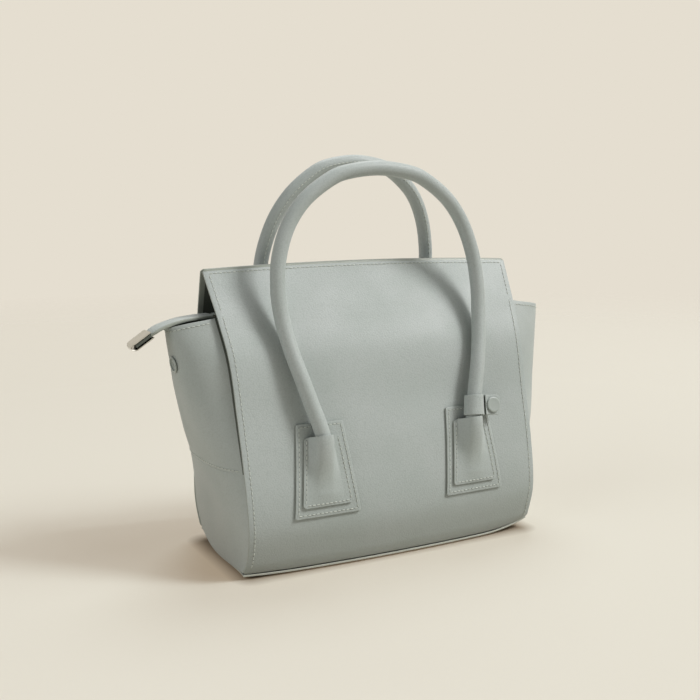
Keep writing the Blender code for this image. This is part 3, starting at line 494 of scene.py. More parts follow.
def stepsAlong(lengths, shares):
    # for each share of the whole length: the point before it, and how far on towards the next it lies
    found, k = [], 0
    for share in shares:
        want = lengths[-1] * share
        while k < len(lengths) - 2 and lengths[k + 1] < want:
            k += 1
        found.append((k, (want - lengths[k]) / max(1e-9, lengths[k + 1] - lengths[k])))
    return found


# ---- camera first
camera = {"lens": 51.43, "sensor": 36, "clip": 0.01, "azimuth": -27.8, "elevation": 8.3, "roll": -0.33,
          "distance": 0.807, "target": (-0.0124, 0.0, 0.1554)}


def directionTo(turn, rise):
    # turned from the front towards the right, and risen from the floor
    a, e = math.radians(turn), math.radians(rise)
    return Vector((math.sin(a) * math.cos(e), -math.cos(a) * math.cos(e), math.sin(e)))


def placeCamera():
    back, roll = directionTo(camera["azimuth"], camera["elevation"]), math.radians(camera["roll"])
    right = (-back).cross(Vector((0, 0, 1))).normalized()
    up = right.cross(-back)
    rolledRight = right * math.cos(roll) + up * math.sin(roll)
    rolledUp = up * math.cos(roll) - right * math.sin(roll)
    deselect()
    bpy.ops.object.camera_add(location=(0, 0, 0))
    made = bpy.context.object
    made.matrix_world = (Matrix.Translation(Vector(camera["target"]) + back * camera["distance"])
                         @ Matrix((rolledRight, rolledUp, back)).transposed().to_4x4())
    made.data.lens = camera["lens"]
    made.data.sensor_width = camera["sensor"]
    made.data.clip_start = camera["clip"]
    bpy.context.scene.camera = made


placeCamera()


# ---- stitches: one is modelled, and copied along each seam
stitch = {"pitch": 0.0036, "length": 0.0027, "width": 0.00064, "height": 0.00042, "raised": 0.35,
          "hole": 0.00026, "holeSunk": 0.2}


def modelStitch():
    deselect()
    bpy.ops.mesh.primitive_uv_sphere_add(segments=8, ring_count=6, radius=0.5, location=(0, 0, 0))
    made = bpy.context.object
    size, middle = (stitch["length"], stitch["width"], stitch["height"] * 2), (0, 0, 0)
    edited(made,
           (bpy.ops.transform.rotate, {"value": math.pi / 2, "orient_axis": "Y", "center_override": middle}),
           (bpy.ops.transform.resize, {"value": size, "center_override": middle}))
    return takenShape(made)


def modelHole():
    # a flat hexagon between this stitch and the next, dark as painted shade in the needle hole
    middle = Vector((stitch["pitch"] / 2, 0, -stitch["holeSunk"] * stitch["height"]))
    turns = [math.pi / 3 * turn for turn in range(6)]
    return [middle + Vector((math.cos(a), math.sin(a), 0)) * stitch["hole"] for a in turns], [tuple(range(6))]


stitchShape, holeShape = modelStitch(), modelHole()


def resampled(path, pitch):
    lengths = lengthsAlong([point for point, _ in path])
    count = max(2, round(lengths[-1] / pitch))
    found = []
    for k, t in stepsAlong(lengths, [(i + 0.5) / count for i in range(count)]):
        (a, outA), (b, outB) = path[k], path[k + 1]
        found.append((a.lerp(b, t), outA.lerp(outB, t).normalized(), (b - a).normalized()))
    return found


def stitchAlong(name, paths, body, holes=True):
    # every path is a list of (point on the leather, direction out of it)
    points, faces, kinds = [], [], []
    for path in paths:
        for middle, out, along in resampled(path, stitch["pitch"]):
            seat = frameAt(middle + out * stitch["height"] * stitch["raised"], out, along)
            addCopy(points, faces, stitchShape, seat)
            kinds += [0] * len(stitchShape[1])
            if holes:
                addCopy(points, faces, holeShape, seat)
                kinds.append(1)
    made = linkedMesh(name, points, faces)
    for key in ("thread", "hole"):
        made.data.materials.append(finishes[key])
    made.data.polygons.foreach_set("material_index", kinds)
    made.data.shade_smooth()
    return dress(made, body)


def roundCut(r, inside):
    # how much a corner of radius r takes off, this far inside its end
    return r - math.sqrt(max(0.0, r**2 - (r - min(r, inside)) ** 2))


# ---- front and back panels, each one piece from the foot to the ridge
panel = {"columns": 64, "rows": 120, "rounding": 0.00035, "corner": 0.0022, "stitchInset": 0.0043,
         "ridgeStitch": 0.0036, "ridgeBand": 0.0019, "backTrim": 0.0013, "foot": 0.0037, "footCorner": 0.0065,
         "bend": 0.007, "paintReach": 0.004, "seamSteps": 70, "ridgeSteps": 80,
         # the seam threads' ends: above the floor, below and above the fold, below the ridge
         "seamEnds": (0.009, 0.001, 0.003, 0.0045)}


def makePanel(word, side):
    top, low = bag["ridgeHeight"], panel["foot"]

    def place(u, v):
        z = mixed(low, top, v)
        across = 2 * u - 1
        worn = side * across < 0 and z < bag["waistHeight"]      # the front right and rear left corners
        cut = roundCut(panel["footCorner"] if worn else panel["corner"], min(top - z, z - low))
        across *= 1 - cut / halfWidth(z)
        if side > 0:      # trimmed closer at the back, below the waist
            across *= 1 - panel["backTrim"] * (1 - aboveWaist(z)) / halfWidth(z)
        return panelFace(side, across, z)

    piece = gridPiece(word + "_leather_panel", panel["columns"], panel["rows"], place)
    makeLeatherSheet(piece, bag["leather"], lambda p: Vector((0, side, 0)), panel["rounding"])
    # the edge paint runs over on to the ridge, and covers what shows of the inside along the side seams
    piece.data.materials.append(finishes["ridge"])
    for face in piece.data.polygons:
        x, z = abs(face.center.x), face.center.z
        half = halfWidth(min(z, top))
        if z - crownAt(z, x / half) > top - panel["ridgeBand"]:
            face.material_index = 3
        elif face.material_index == 2 and x > half - bag["lip"] - panel["paintReach"]:
            face.material_index = 1
    flap = "front_flap" if side < 0 else "back_flap"
    fold = Vector((0, side * halfDepth(bag["foldHeight"]), bag["foldHeight"]))
    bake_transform(piece)
    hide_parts(word + "_panel", word + "_upper_panel")

    def along(across, z):
        return panelFace(side, across, z), panelOut(side, across, z)

    sew = panel["stitchInset"]
    foot, below, above, end = panel["seamEnds"]
    seams = {"bag": (foot, bag["foldHeight"] - below), flap: (bag["foldHeight"] + above, top - end)}
    for body, heights in seams.items():
        steps = [mixed(*heights, share) for share in spaced(panel["seamSteps"])]
        rows = [[along(hand * (1 - sew / halfWidth(z)), z) for z in steps] for hand in (-1, 1)]
        if body == flap:
            z = top - panel["ridgeStitch"]
            reach = 1 - sew / halfWidth(z)
            rows.append([along(mixed(-reach, reach, share), z) for share in spaced(panel["ridgeSteps"])])
        stitchAlong(f"{word}_{body}_seam_thread", rows, body)


for word, side in (("front", -1), ("back", 1)):
    makePanel(word, side)
print("panels made")


# ---- wing gussets and lower gussets
wing = {"columns": 72, "rows": 44, "lowRows": 34, "turnIn": 0.06, "rounding": 0.00018,
        "creviceShade": 0.972, "creviceShadeLow": 0.080, "flatFrom": 0.13, "sideways": 0.4,
        "hemStitch": 0.0030, "waistStitch": 0.0022, "hemThread": 0.93, "seamSteps": 60}


def makeGussets():
    turn, waist = 1 + wing["turnIn"], bag["waistHeight"]
    parts = {"wing": ("rows", waist, None), "lower": ("lowRows", bag["baseLeather"] + bag["gap"], waist)}
    for word, side in (("left", -1), ("right", 1)):
        def outward(p):
            if abs(p.x) > wing["flatFrom"]:
                return Vector((side, 0, 0))
            return Vector((side * wing["sideways"], 1 if p.y > 0 else -1, 0))

        for part, (rows, low, high) in parts.items():
            def place(u, v):
                across = (2 * u - 1) * turn
                return wingPoint(side, across, mixed(low, high or wingTop(across), v))

            piece = gridPiece(f"{word}_{part}_leather", wing["columns"], wing[rows], place)
            makeLeatherSheet(piece, bag["gussetLeather"], outward, wing["rounding"], "gusset", "gusset")
            if part == "wing":      # painted shade: a dark tone along the seams, in the crevice beside the panels
                piece.data.materials.append(finishes["creviceShade"])
                grid = piece.data.uv_layers[0].data
                for face in piece.data.polygons:
                    u = sum(grid[i].uv.x for i in face.loop_indices) / face.loop_total
                    if face.center.z > wing["creviceShadeLow"] and abs(2 * u - 1) * turn > wing["creviceShade"]:
                        face.material_index = 3
            dress(piece, "bag", [f"{word}_{part}_gusset"])

        def along(across, z):
            return wingPoint(side, across, z), wingOut(side, across, z)

        steps = [mixed(-wing["hemThread"], wing["hemThread"], share) for share in spaced(wing["seamSteps"])]
        seams = [[along(across, wingTop(across) - wing["hemStitch"]) for across in steps],
                 [along(across, waist + wing["waistStitch"]) for across in steps]]
        stitchAlong(word + "_gusset_thread", seams, "bag")


makeGussets()
print("gussets made")


# ---- base and the board inside it
base = {"columns": 90, "rows": 44, "rounding": 0.0003, "angle": 40, "endTuck": 0.0014, "welt": 0.0006,
        "weltRise": 0.0006, "skive": 0.0013, "skiveReach": 0.008,
        "board": 0.0018, "boardMargin": 0.0075, "boardColumns": 40, "boardRows": 20}


def basePoint(u, v, margin, z):
    foot = bag["baseLeather"] + bag["gap"]
    s, t = 2 * u - 1, 2 * v - 1
    end = creaseReach(-1 if s < 0 else 1, foot) - margin
    x = s * mixed(end, halfWidth(foot) - margin, abs(t) ** bag["creasePower"])
    y = t * (halfDepth(foot) + bow(foot) * (1 - s**2) + base["welt"] + base["endTuck"] - margin)
    return Vector((x + cornerLift(x, y, 0.0, "cornerTucks"), y, z + cornerLift(x, y, 0.0)))


def makeBase():
    piece = gridPiece("base_leather_panel", base["columns"], base["rows"],
                      lambda u, v: basePoint(u, v, base["endTuck"], 0.0))
    faceOutwards(piece, lambda p: Vector((0, 0, -1)))
    count = len(piece.data.vertices)
    across = base["columns"] + 1
    applyModifier(piece, "SOLIDIFY", thickness=bag["baseLeather"], offset=-1.0, use_even_offset=True)
    points = piece.data.vertices
    for i in range(count):      # pared away underneath towards its rim, and raised a little as a welt
        row, column = divmod(i, across)
        rim = min((points[i].co - points[k].co).length
                  for k in (row * across, row * across + across - 1, column, count - across + column))
        points[i].co.z += base["skive"] * (1 - eased(rim / base["skiveReach"]))
        if row in (0, base["rows"]):
            points[i + count].co.z += base["weltRise"]
    roundEdges(piece, base["rounding"], 3, base["angle"])
    smoothShade(piece, base["angle"])
    dress(piece, "bag", ["base_panel"], "base")


def makeBaseBoard():
    low = bag["baseLeather"] + bag["gap"]
    piece = gridPiece("base_stiffener", base["boardColumns"], base["boardRows"],
                      lambda u, v: basePoint(u, v, base["boardMargin"], low))
    faceOutwards(piece, lambda p: Vector((0, 0, -1)))
    applyModifier(piece, "SOLIDIFY", thickness=base["board"], offset=-1.0)
    roundEdges(piece, base["rounding"], 2, base["angle"])
    smoothShade(piece, base["angle"])
    dress(piece, "bag", ["base_board"], "board")


makeBase()
makeBaseBoard()
print("base made")


# ---- handle patches and tabs
patch = {"centre": 0.0655, "low": 0.0435, "high": 0.1110, "topWidth": 0.0385, "bottomWidth": 0.0540,
         "leather": 0.0014, "corner": 0.0012, "columns": 30, "rows": 36, "rounding": 0.0003,
         "stitchInset": 0.0024, "crowding": 0.6, "sideSteps": 24, "endSteps": 16}
tab = {"low": 0.0510, "high": 0.1010, "topWidth": 0.0290, "bottomWidth": 0.0415, "leather": 0.0014,
       "corner": 0.0030, "columns": 60, "rows": 52, "rounding": 0.00035, "margin": 0.0030,
       "clearance": 0.0004, "endLow": 0.0600, "endFlat": 0.0012, "stitchInset": 0.0019, "sag": 0.0009, "probe": 0.0002,
       "seamLow": 0.001, "footSeam": 0.94}
tube = {"radius": 0.00575, "stand": 0.0015, "sides": 28, "steps": 150, "blendLow": 0.0990,
        "blendHigh": 0.1046, "frontLeftShift": -0.0018, "shiftFade": 0.09}


def footShift(side, end):
    # the front left tube enters its tab a little off centre
    return tube["frontLeftShift"] if side < 0 and end < 0 else 0.0


def trapezoidHalf(piece, z):
    share = (z - piece["low"]) / (piece["high"] - piece["low"])
    return mixed(piece["bottomWidth"], piece["topWidth"], share) / 2


def roundedHalf(piece, z):
    return trapezoidHalf(piece, z) - roundCut(piece["corner"], min(piece["high"] - z, z - piece["low"]))


def packedRow(piece, v):
    # rows lie closer together where the corners are rounded
    return mixed(piece["low"], piece["high"], mixed(v, eased(v), patch["crowding"]))


def patchOut():
    return bag["gap"] + patch["leather"]


def makePatch(word, side, hand, end):
    centre = end * patch["centre"]

    def place(u, v):
        z = packedRow(patch, v)
        return onPanel(side, centre + roundedHalf(patch, z) * (2 * u - 1), z, patchOut())

    piece = gridPiece(f"{word}_{hand}_leather_patch", patch["columns"], patch["rows"], place)
    makeLeatherSheet(piece, patch["leather"], lambda p: Vector((0, side, 0)), patch["rounding"])
    dress(piece, "bag", [f"{word}_{hand}_patch"])
    inset = patch["stitchInset"]

    def along(z, s):
        x = centre + (trapezoidHalf(patch, z) - inset) * s
        return onPanel(side, x, z, patchOut()), panelOut(side, x / halfWidth(z), z)

    low, high = patch["low"] + inset, patch["high"] - inset
    rows = [[along(mixed(low, high, share), s) for share in spaced(patch["sideSteps"])] for s in (-1, 1)]
    rows += [[along(z, 2 * share - 1) for share in spaced(patch["endSteps"])] for z in (low, high)]
    stitchAlong(f"{word}_{hand}_patch_thread", rows, "bag")


def tabHump(x, foot):
    # outer height of the tab pulled over the tube and down to its sewn edge
    radius = tube["radius"] + tab["clearance"] + tab["leather"]
    rise = tube["radius"] + tube["stand"] - tab["leather"]
    span = math.sqrt(foot**2 + rise**2)
    slope = math.atan2(rise, foot) + math.asin(radius / span)
    touch = foot - math.sqrt(span**2 - radius**2) * math.cos(slope)
    if abs(x) <= touch:
        return tube["radius"] + tube["stand"] + math.sqrt(radius**2 - x**2)
    height = tab["leather"] + max(0.0, foot - abs(x)) * math.tan(slope)
    # the leather sags a little between the tube and the seam
    slack = (abs(x) - touch) / max(1e-6, foot - touch)
    return height - tab["sag"] * math.sin(math.pi * min(1.0, slack))


def flatShare(z, least):
    return mixed(least, 1.0, eased((z - tab["endLow"]) / (tab["high"] - tab["endLow"])))


def tabSeat():
    return patch["leather"] + 2 * bag["gap"]


def tabSurface(side, end, x, z):
    least = (tab["endFlat"] + tab["clearance"]) / (2 * tube["radius"])
    tall = flatShare(z, least) * clamped((z - tab["low"]) / (tab["endLow"] - tab["low"]))
    shift = footShift(side, end)
    foot = trapezoidHalf(tab, z) - tab["margin"] - abs(shift)
    out = tab["leather"] + (tabHump(x - shift, foot) - tab["leather"]) * tall
    return onPanel(side, end * patch["centre"] + x, z, tabSeat() + out)


def makeTab(word, side, hand, end):
    def place(u, v):
        z = packedRow(tab, v)
        return tabSurface(side, end, roundedHalf(tab, z) * (2 * u - 1), z)

    piece = gridPiece(f"{word}_{hand}_leather_tab", tab["columns"], tab["rows"], place)
    makeLeatherSheet(piece, tab["leather"], lambda p: Vector((0, side, 0)), tab["rounding"])
    dress(piece, "bag", [f"{word}_{hand}_tab"])
    inset = tab["stitchInset"]

    def surface(x, z):
        return tabSurface(side, end, x, z)

    def along(z, s):
        x = s * (trapezoidHalf(tab, z) - inset)
        return surface(x, z), outOf(surface, x, z, Vector((0, side, 0)), tab["probe"])

    low, high = tab["low"] + inset, tab["high"] - inset
    heights = [mixed(low + tab["seamLow"], high, share) for share in spaced(patch["sideSteps"])]
    rows = [[along(z, s) for z in heights] for s in (-1, 1)]
    rows.append([along(low, tab["footSeam"] * (2 * share - 1)) for share in spaced(patch["endSteps"])])
    stitchAlong(f"{word}_{hand}_tab_thread", rows, "bag")


for word, side in (("front", -1), ("rear", 1)):
    for hand, end in (("left", -1), ("right", 1)):
        makePatch(word, side, hand, end)
        makeTab(word, side, hand, end)
print("patches and tabs made")


# ---- handles: leather rolled round a rope, flattened under the tabs
handle = {
    "front": {"rise": 0.1958, "spread": 0.0887, "spreadColumn": 1, "leanColumn": 3},
    "rear": {"rise": 0.2018, "spread": 0.0775, "spreadColumn": 2, "leanColumn": 4},
    "lean": 0.0356,
    # (rise, spread, rear spread, lean, rear lean) up one leg of a handle and on to its top
    "shares": (
        (0.000, 0.736, 0.843, 0.000, 0.000), (0.060, 0.773, 0.865, 0.080, 0.080),
        (0.111, 0.807, 0.885, 0.165, 0.165), (0.214, 0.876, 0.928, 0.325, 0.325),
        (0.316, 0.939, 0.965, 0.522, 0.522), (0.418, 0.982, 0.990, 0.700, 0.700),
        (0.520, 1.000, 1.000, 0.815, 0.825), (0.648, 0.975, 0.975, 0.925, 0.960),
        (0.775, 0.878, 0.878, 0.988, 1.120), (0.877, 0.714, 0.714, 1.000, 1.266),
        (0.954, 0.480, 0.480, 1.000, 1.350), (0.985, 0.297, 0.297, 1.000, 1.371),
        (1.000, 0.000, 0.000, 1.000, 1.380),
    ),
    "fine": 12,      # steps between two rows, before the line is shared out evenly
    # more rings where the tube bends at the mouth of its tab
    "mouthRings": (0.15, 0.3, 0.45, 0.6, 0.8),
    "endRings": 12, "endMargins": (0.001, 0.0002), "topRings": (0.0032, 0.0022, 0.0012),
    "flatSpread": 0.35, "seamClear": 9,
}


def handleFoot(side, end):
    return onPanel(side, end * patch["centre"], tab["high"], tabSeat() + tube["stand"] + tube["radius"])


def curveThrough(points, count):
    table = [(i, *point) for i, point in enumerate(points)]
    steps = range(handle["fine"] * (len(points) - 1) + 1)
    fine = [Vector([curveValue(table, i / handle["fine"], column) for column in (1, 2, 3)]) for i in steps]
    return [fine[k].lerp(fine[k + 1], t) for k, t in stepsAlong(lengthsAlong(fine), spaced(count))]


def handleLine(word, side):
    sizes = handle[word]
    foot = handleFoot(side, 1)
    leg = [Vector((patch["centre"], foot.y, foot.z))]
    for row in handle["shares"][1:]:
        y = side * (abs(foot.y) - handle["lean"] * row[sizes["leanColumn"]])
        leg.append(Vector((sizes["spread"] * row[sizes["spreadColumn"]], y, foot.z + sizes["rise"] * row[0])))
    other = [Vector((-p.x, p.y, p.z)) for p in leg]
    line = curveThrough(other + leg[-2::-1], tube["steps"])
    for p in line:      # the shift of a foot fades out up its leg
        if p.x < 0:
            p.x += footShift(side, -1) * eased(1 - (p.z - foot.z) / tube["shiftFade"])
    return line


def blendRing(a, b, share):
    return tuple(a[i].lerp(b[i], share) for i in range(3))


def handleRings(word, side):
    # (centre, inner direction, outer direction) of each ring of the free part
    line = handleLine(word, side)
    rings = []
    for i, p in enumerate(line):
        way = (line[min(i + 1, len(line) - 1)] - line[max(i - 1, 0)]).normalized()
        if i in (0, len(line) - 1):
            out = panelOut(side, line[i].x / halfWidth(tab["high"]), tab["high"])
            up = Vector((1, 0, 0)).cross(out).normalized()
            way = up if (up.z > 0) == (i == 0) else -up
        u = way.cross(Vector((0, side, 0))).normalized() * -side
        rings.append((p, u, u.cross(way).normalized() * -side))
    first, second, before, last = rings[0], rings[1], rings[-2], rings[-1]
    rings[1:1] = [blendRing(first, second, share) for share in handle["mouthRings"]]
    rings[-1:-1] = [blendRing(last, before, share) for share in reversed(handle["mouthRings"])]
    return rings


def makeHandle(word, side):
    rings = handleRings(word, side)
    least = tab["endFlat"] / (2 * tube["radius"])
    clear, top = handle["endMargins"]
    heights = [mixed(tab["endLow"] + clear, tab["high"] - top, share) for share in spaced(handle["endRings"])]
    heights = sorted(heights + [tab["high"] - margin for margin in handle["topRings"]])
    radius = tube["radius"]

    def endRing(end, z, a):
        tall = flatShare(z, least)
        wide = radius * (1 + handle["flatSpread"] * (1 - tall))
        x = end * patch["centre"] + footShift(side, end) - end * wide * math.cos(a)
        return onPanel(side, x, z, tabSeat() + tall * (tube["stand"] + radius * (1 + math.sin(a))))

    def tubeRing(ring, a):
        centre, inner, outer = ring
        return centre + inner * radius * math.cos(a) + outer * radius * math.sin(a)

    stations = [(-1, z) for z in heights] + [(0, ring) for ring in rings]
    stations += [(1, z) for z in reversed(heights)]

    def place(u, v):
        end, value = stations[round(v * (len(stations) - 1))]
        a = 2 * math.pi * u
        return endRing(end, value, a) if end else tubeRing(value, a)

    piece = gridPiece(word + "_leather_handle", tube["sides"], len(stations) - 1, place, wrapped=True)
    piece.data.materials.append(finishes["leather"])
    smoothShade(piece, 60)
    start, end = ((0, handleFoot(side, 1).y, tube[key]) for key in ("blendLow", "blendHigh"))
    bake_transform(piece)
    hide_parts(word + "_handle_sleeve", f"{word}_left_tube_end", f"{word}_right_tube_end")
    clear = handle["seamClear"]
    seam = [(centre - outer * radius, -outer) for centre, inner, outer in rings[clear:-clear]]
    stitchAlong(word + "_handle_thread", [seam], word + "_handle", holes=False)


for word, side in (("front", -1), ("rear", 1)):
    makeHandle(word, side)
print("handles made")


# ---- zip: facings, tapes, teeth, stops, slider and puller
zipper = {"facingLeather": 0.0012, "facingDrop": 0.010, "facingGap": 0.018, "belowFold": 0.0010,
          "foldRound": 0.0022, "foldFrom": 0.45, "foldTo": 0.65, "allowance": 0.008, "facingStitch": 0.0020,
          "facingRounding": 0.0003, "facingThread": 0.985, "facingGrid": (60, 20), "seamSteps": 60,
          "tapeCord": 0.00006, "cordWidth": 0.0012, "tapeRounding": 0.00015, "tapeGrid": (90, 12),
          "pitch": 0.0025, "toothWidth": 0.0013, "toothTip": 0.0009, "toothHeight": 0.96, "bead": 0.0026,
          # shares of a tooth's size: its neck and how far that reaches, its tip, its root, its rounding
          "neck": (0.72, 0.3), "tip": 0.8, "root": 0.86, "toothEnds": 0.4, "toothRounding": 0.06,
          "stopRounding": 0.00025, "sliderRounding": 0.0003}


def makeZipFacings():
    z = bag["foldHeight"] - zipper["belowFold"]
    reach = 1 - (bag["lip"] + zipper["allowance"] + bag["gap"]) / halfWidth(z)
    inset = bag["leather"] + bag["gap"]
    r, start, stop = zipper["foldRound"], zipper["foldFrom"], zipper["foldTo"]
    for word, side in (("front", -1), ("rear", 1)):
        def place(u, v):
            across = reach * (2 * u - 1)
            corner = panelPoint(side, across, z, inset)
            low = panelPoint(side, across, z - zipper["facingDrop"], inset)
            edge = Vector((corner.x, side * zipper["facingGap"] / 2, corner.z))
            downWay, inWay = (low - corner).normalized(), (edge - corner).normalized()
            if v < start:
                return low.lerp(corner + downWay * r, v / start)
            if v > stop:
                return (corner + inWay * r).lerp(edge, (v - stop) / (1 - stop))
            t = (v - start) / (stop - start)
            return corner + downWay * r * (1 - t) ** 2 + inWay * r * t**2

        piece = gridPiece(word + "_zip_facing_leather", *zipper["facingGrid"], place)
        makeLeatherSheet(piece, zipper["facingLeather"], lambda p: Vector((0, -side * 0.2, 1)),
                         zipper["facingRounding"])
        dress(piece, "bag", [word + "_zip_facing"])
        y = side * (zipper["facingGap"] / 2 + zipper["facingStitch"])
        path = []
        for share in spaced(zipper["seamSteps"]):
            corner = panelPoint(side, zipper["facingThread"] * reach * (2 * share - 1), z, inset)
            path.append((Vector((corner.x, y, corner.z)), Vector((0, 0, 1))))
        stitchAlong(word + "_facing_thread", [path], "bag")


def makeZipTapes():
    for word in ("front", "rear"):
        low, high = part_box(word + "_zip_tape")

        def place(u, v):
            x, y = mixed(low.x, high.x, u), mixed(low.y, high.y, v)
            # corded inner edge of the tape
            cord = zipper["tapeCord"] * math.exp(-((abs(y) - zipper["bead"]) / zipper["cordWidth"]) ** 2)
            return Vector((x, y, high.z - cord))

        piece = gridPiece(word + "_zip_tape_cloth", *zipper["tapeGrid"], place)
        faceOutwards(piece, lambda p: Vector((0, 0, 1)))
        applyModifier(piece, "SOLIDIFY", thickness=high.z - low.z, offset=-1.0)
        roundEdges(piece, zipper["tapeRounding"])
        smoothShade(piece, 40)
        dress(piece, "bag", [word + "_zip_tape"], "tape")


def modelTooth():
    # a cast tooth: a block narrowed at its neck, with a raised nib at the tip
    deselect()
    bpy.ops.mesh.primitive_cube_add(size=1, location=(0, 0, 0))
    made = bpy.context.object
    edited(made, (bpy.ops.mesh.subdivide, {"number_cuts": 2}))
    (neck, reach), end = zipper["neck"], zipper["toothEnds"]
    for vertex in made.data.vertices:
        x, y, z = vertex.co
        x *= (neck if abs(y) < reach else 1.0) * (zipper["tip"] if y < -end else 1.0)
        vertex.co = (x, y, z * (zipper["root"] if y > end else 1.0))
    roundEdges(made, zipper["toothRounding"], 1)
    return takenShape(made)


def makeZipTeeth():
    tooth = modelTooth()
    wide, deep = zipper["toothWidth"], zipper["bead"] + zipper["toothTip"]
    for word, side, first in (("front", -1, 0.0), ("rear", 1, 0.5)):
        low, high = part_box(word + "_zip_teeth")
        size = Matrix.Diagonal((wide, side * deep, (high.z - low.z) * zipper["toothHeight"], 1))
        points, faces = [], []
        for i in range(int((high.x - low.x - wide) / zipper["pitch"])):
            x = low.x + wide / 2 + (i + first) * zipper["pitch"]
            at = Vector((x, side * (zipper["bead"] - deep / 2), (low.z + high.z) / 2))
            addCopy(points, faces, tooth, Matrix.Translation(at) @ size)
        made = linkedMesh(word + "_zip_tooth_rack", points, faces)
        if side > 0:
            edited(made, recalculated)
        smoothShade(made, 30)
        dress(made, "bag", [word + "_zip_teeth"], "nickel")


cleaning = {"flat": 3, "edges": 35}      # degrees between faces that merge, and that are rounded


def cleanedCopy(name, newName, rounding):
    # a copy of a CAD node with its triangles merged and its edges rounded
    piece = bpy.data.objects.new(newName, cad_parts[name].data.copy())
    bpy.context.scene.collection.objects.link(piece)
    edited(piece, (bpy.ops.mesh.remove_doubles, {"threshold": merge / 2}),
           (bpy.ops.mesh.dissolve_limited, {"angle_limit": math.radians(cleaning["flat"])}))
    roundEdges(piece, rounding, 3, cleaning["edges"])
    smoothShade(piece, 40)
    return piece


def makeZipMetal():
    bodies = {"zip_left_stop": "bag", "zip_right_stop": "bag", "zip_slider": "zip_slider",
              "zip_slider_base": "zip_slider", "zip_puller": "zip_puller"}
    for name, body in bodies.items():
        rounding = zipper["stopRounding" if body == "bag" else "sliderRounding"]
        dress(cleanedCopy(name, name + "_metal", rounding), body, [name], "nickel")


makeZipFacings()
makeZipTapes()
makeZipTeeth()
makeZipMetal()
print("zip made")


# ---- leather-covered zip tail and its folded metal clip
tail = {"start": 0.1310, "bend": 0.1420, "reach": 0.0500, "drop": 0.0220, "width": 0.0170,
        "thickness": 0.0027,
        # (reach, drop) shares of the strap's middle line
        "shares": ((0.00, 0.00), (0.20, 0.04), (0.35, 0.11), (0.49, 0.21), (0.60, 0.32), (0.705, 0.48)),
        "droop": 0.0011, "crown": 0.0005, "pressed": 0.15, "end": 1.9, "inClip": 0.94, "clipGrip": 0.08,
        "clipLength": 0.0180, "clipWidth": 0.0164, "clipThickness": 0.0054, "clipWall": 0.0008,
        "clipRound": 0.0052, "clipTaper": 0.8, "clipRounding": 0.0002, "clipRoom": 0.0022,
        "clipGrid": (64, 20), "corner": 0.0010, "cornerSteps": 5, "steps": 60, "coreInset": 0.0014,
        "blend": (0.002, -0.006), "probe": 0.01, "hiddenFrom": 1.06, "edgeFrom": 0.6}


def tailMiddle(t):
    # t runs from 0 at the fixed root over 1 at the clip's mouth to 2 at the end of the strap inside it
    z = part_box("zip_tail_root")[0].z + tail["thickness"] / 2
    shares = tail["shares"]
    before, mouth = (Vector((-tail["bend"] - tail["reach"] * out, 0, z - tail["drop"] * down))
                     for out, down in shares[-2:])
    if t > 1:
        return mouth + (mouth - before).normalized() * (t - 1) * (tail["clipLength"] - tail["clipRoom"])
    x = mixed(-tail["start"], mouth.x, t)
    if -x < tail["bend"]:
        return Vector((x, 0, z))
    return Vector((x, 0, z - tail["drop"] * curveValue(shares, (-x - tail["bend"]) / tail["reach"], 1)))


def tailFrame(t):
    ahead, behind = min(2.0, t + tail["probe"]), max(0.0, t - tail["probe"])
    way = (tailMiddle(ahead) - tailMiddle(behind)).normalized()
    up = Vector((-way.z, 0, way.x))
    return tailMiddle(t), way, up if up.z > 0 else -up


def makeTail():
    ring = []
    r = tail["corner"]
    half = tail["width"] / 2
    for quarter, (signY, signZ) in enumerate(((1, 1), (-1, 1), (-1, -1), (1, -1))):
        for share in spaced(tail["cornerSteps"]):
            a = math.pi / 2 * (quarter + share)
            ring.append((signY * (half - r) + r * math.cos(a),
                         signZ * (tail["thickness"] / 2 - r) + r * math.sin(a)))

    def place(u, v):
        t = tail["end"] * v
        middle, way, up = tailFrame(t)
        y, lift = ring[round(u * len(ring)) % len(ring)]
        inside = eased((t - tail["inClip"]) / tail["clipGrip"])
        crown = tail["crown"] * (1 - (y / half) ** 2) * (1 - inside)
        lift -= tail["droop"] * (y / half) ** 2 * math.sin(math.pi * min(1.0, t))
        y *= 1 - inside * tail["coreInset"] / half
        lift = (lift + (crown if lift > 0 else 0.0)) * (1 - tail["pressed"] * inside)
        return middle + Vector((0, y, 0)) + up * lift

    piece = gridPiece("zip_tail_leather", len(ring), tail["steps"], place, wrapped=True)
    for key in ("leather", "shadedBacking", "edge"):
        piece.data.materials.append(finishes[key])
    for face in piece.data.polygons:
        if face.center.x < tailMiddle(tail["hiddenFrom"]).x:      # in the clip: the dark flesh-side tone, painted shade inside the clip
            face.material_index = 1
        elif abs(face.normal.y) > tail["edgeFrom"]:
            face.material_index = 2
    smoothShade(piece, 60)
    start, end = ((side - tail["bend"], 0, tailMiddle(0).z) for side in tail["blend"])
    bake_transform(piece)
    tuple(start)
    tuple(end)
    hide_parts("zip_tail_root", "zip_tail_strap")


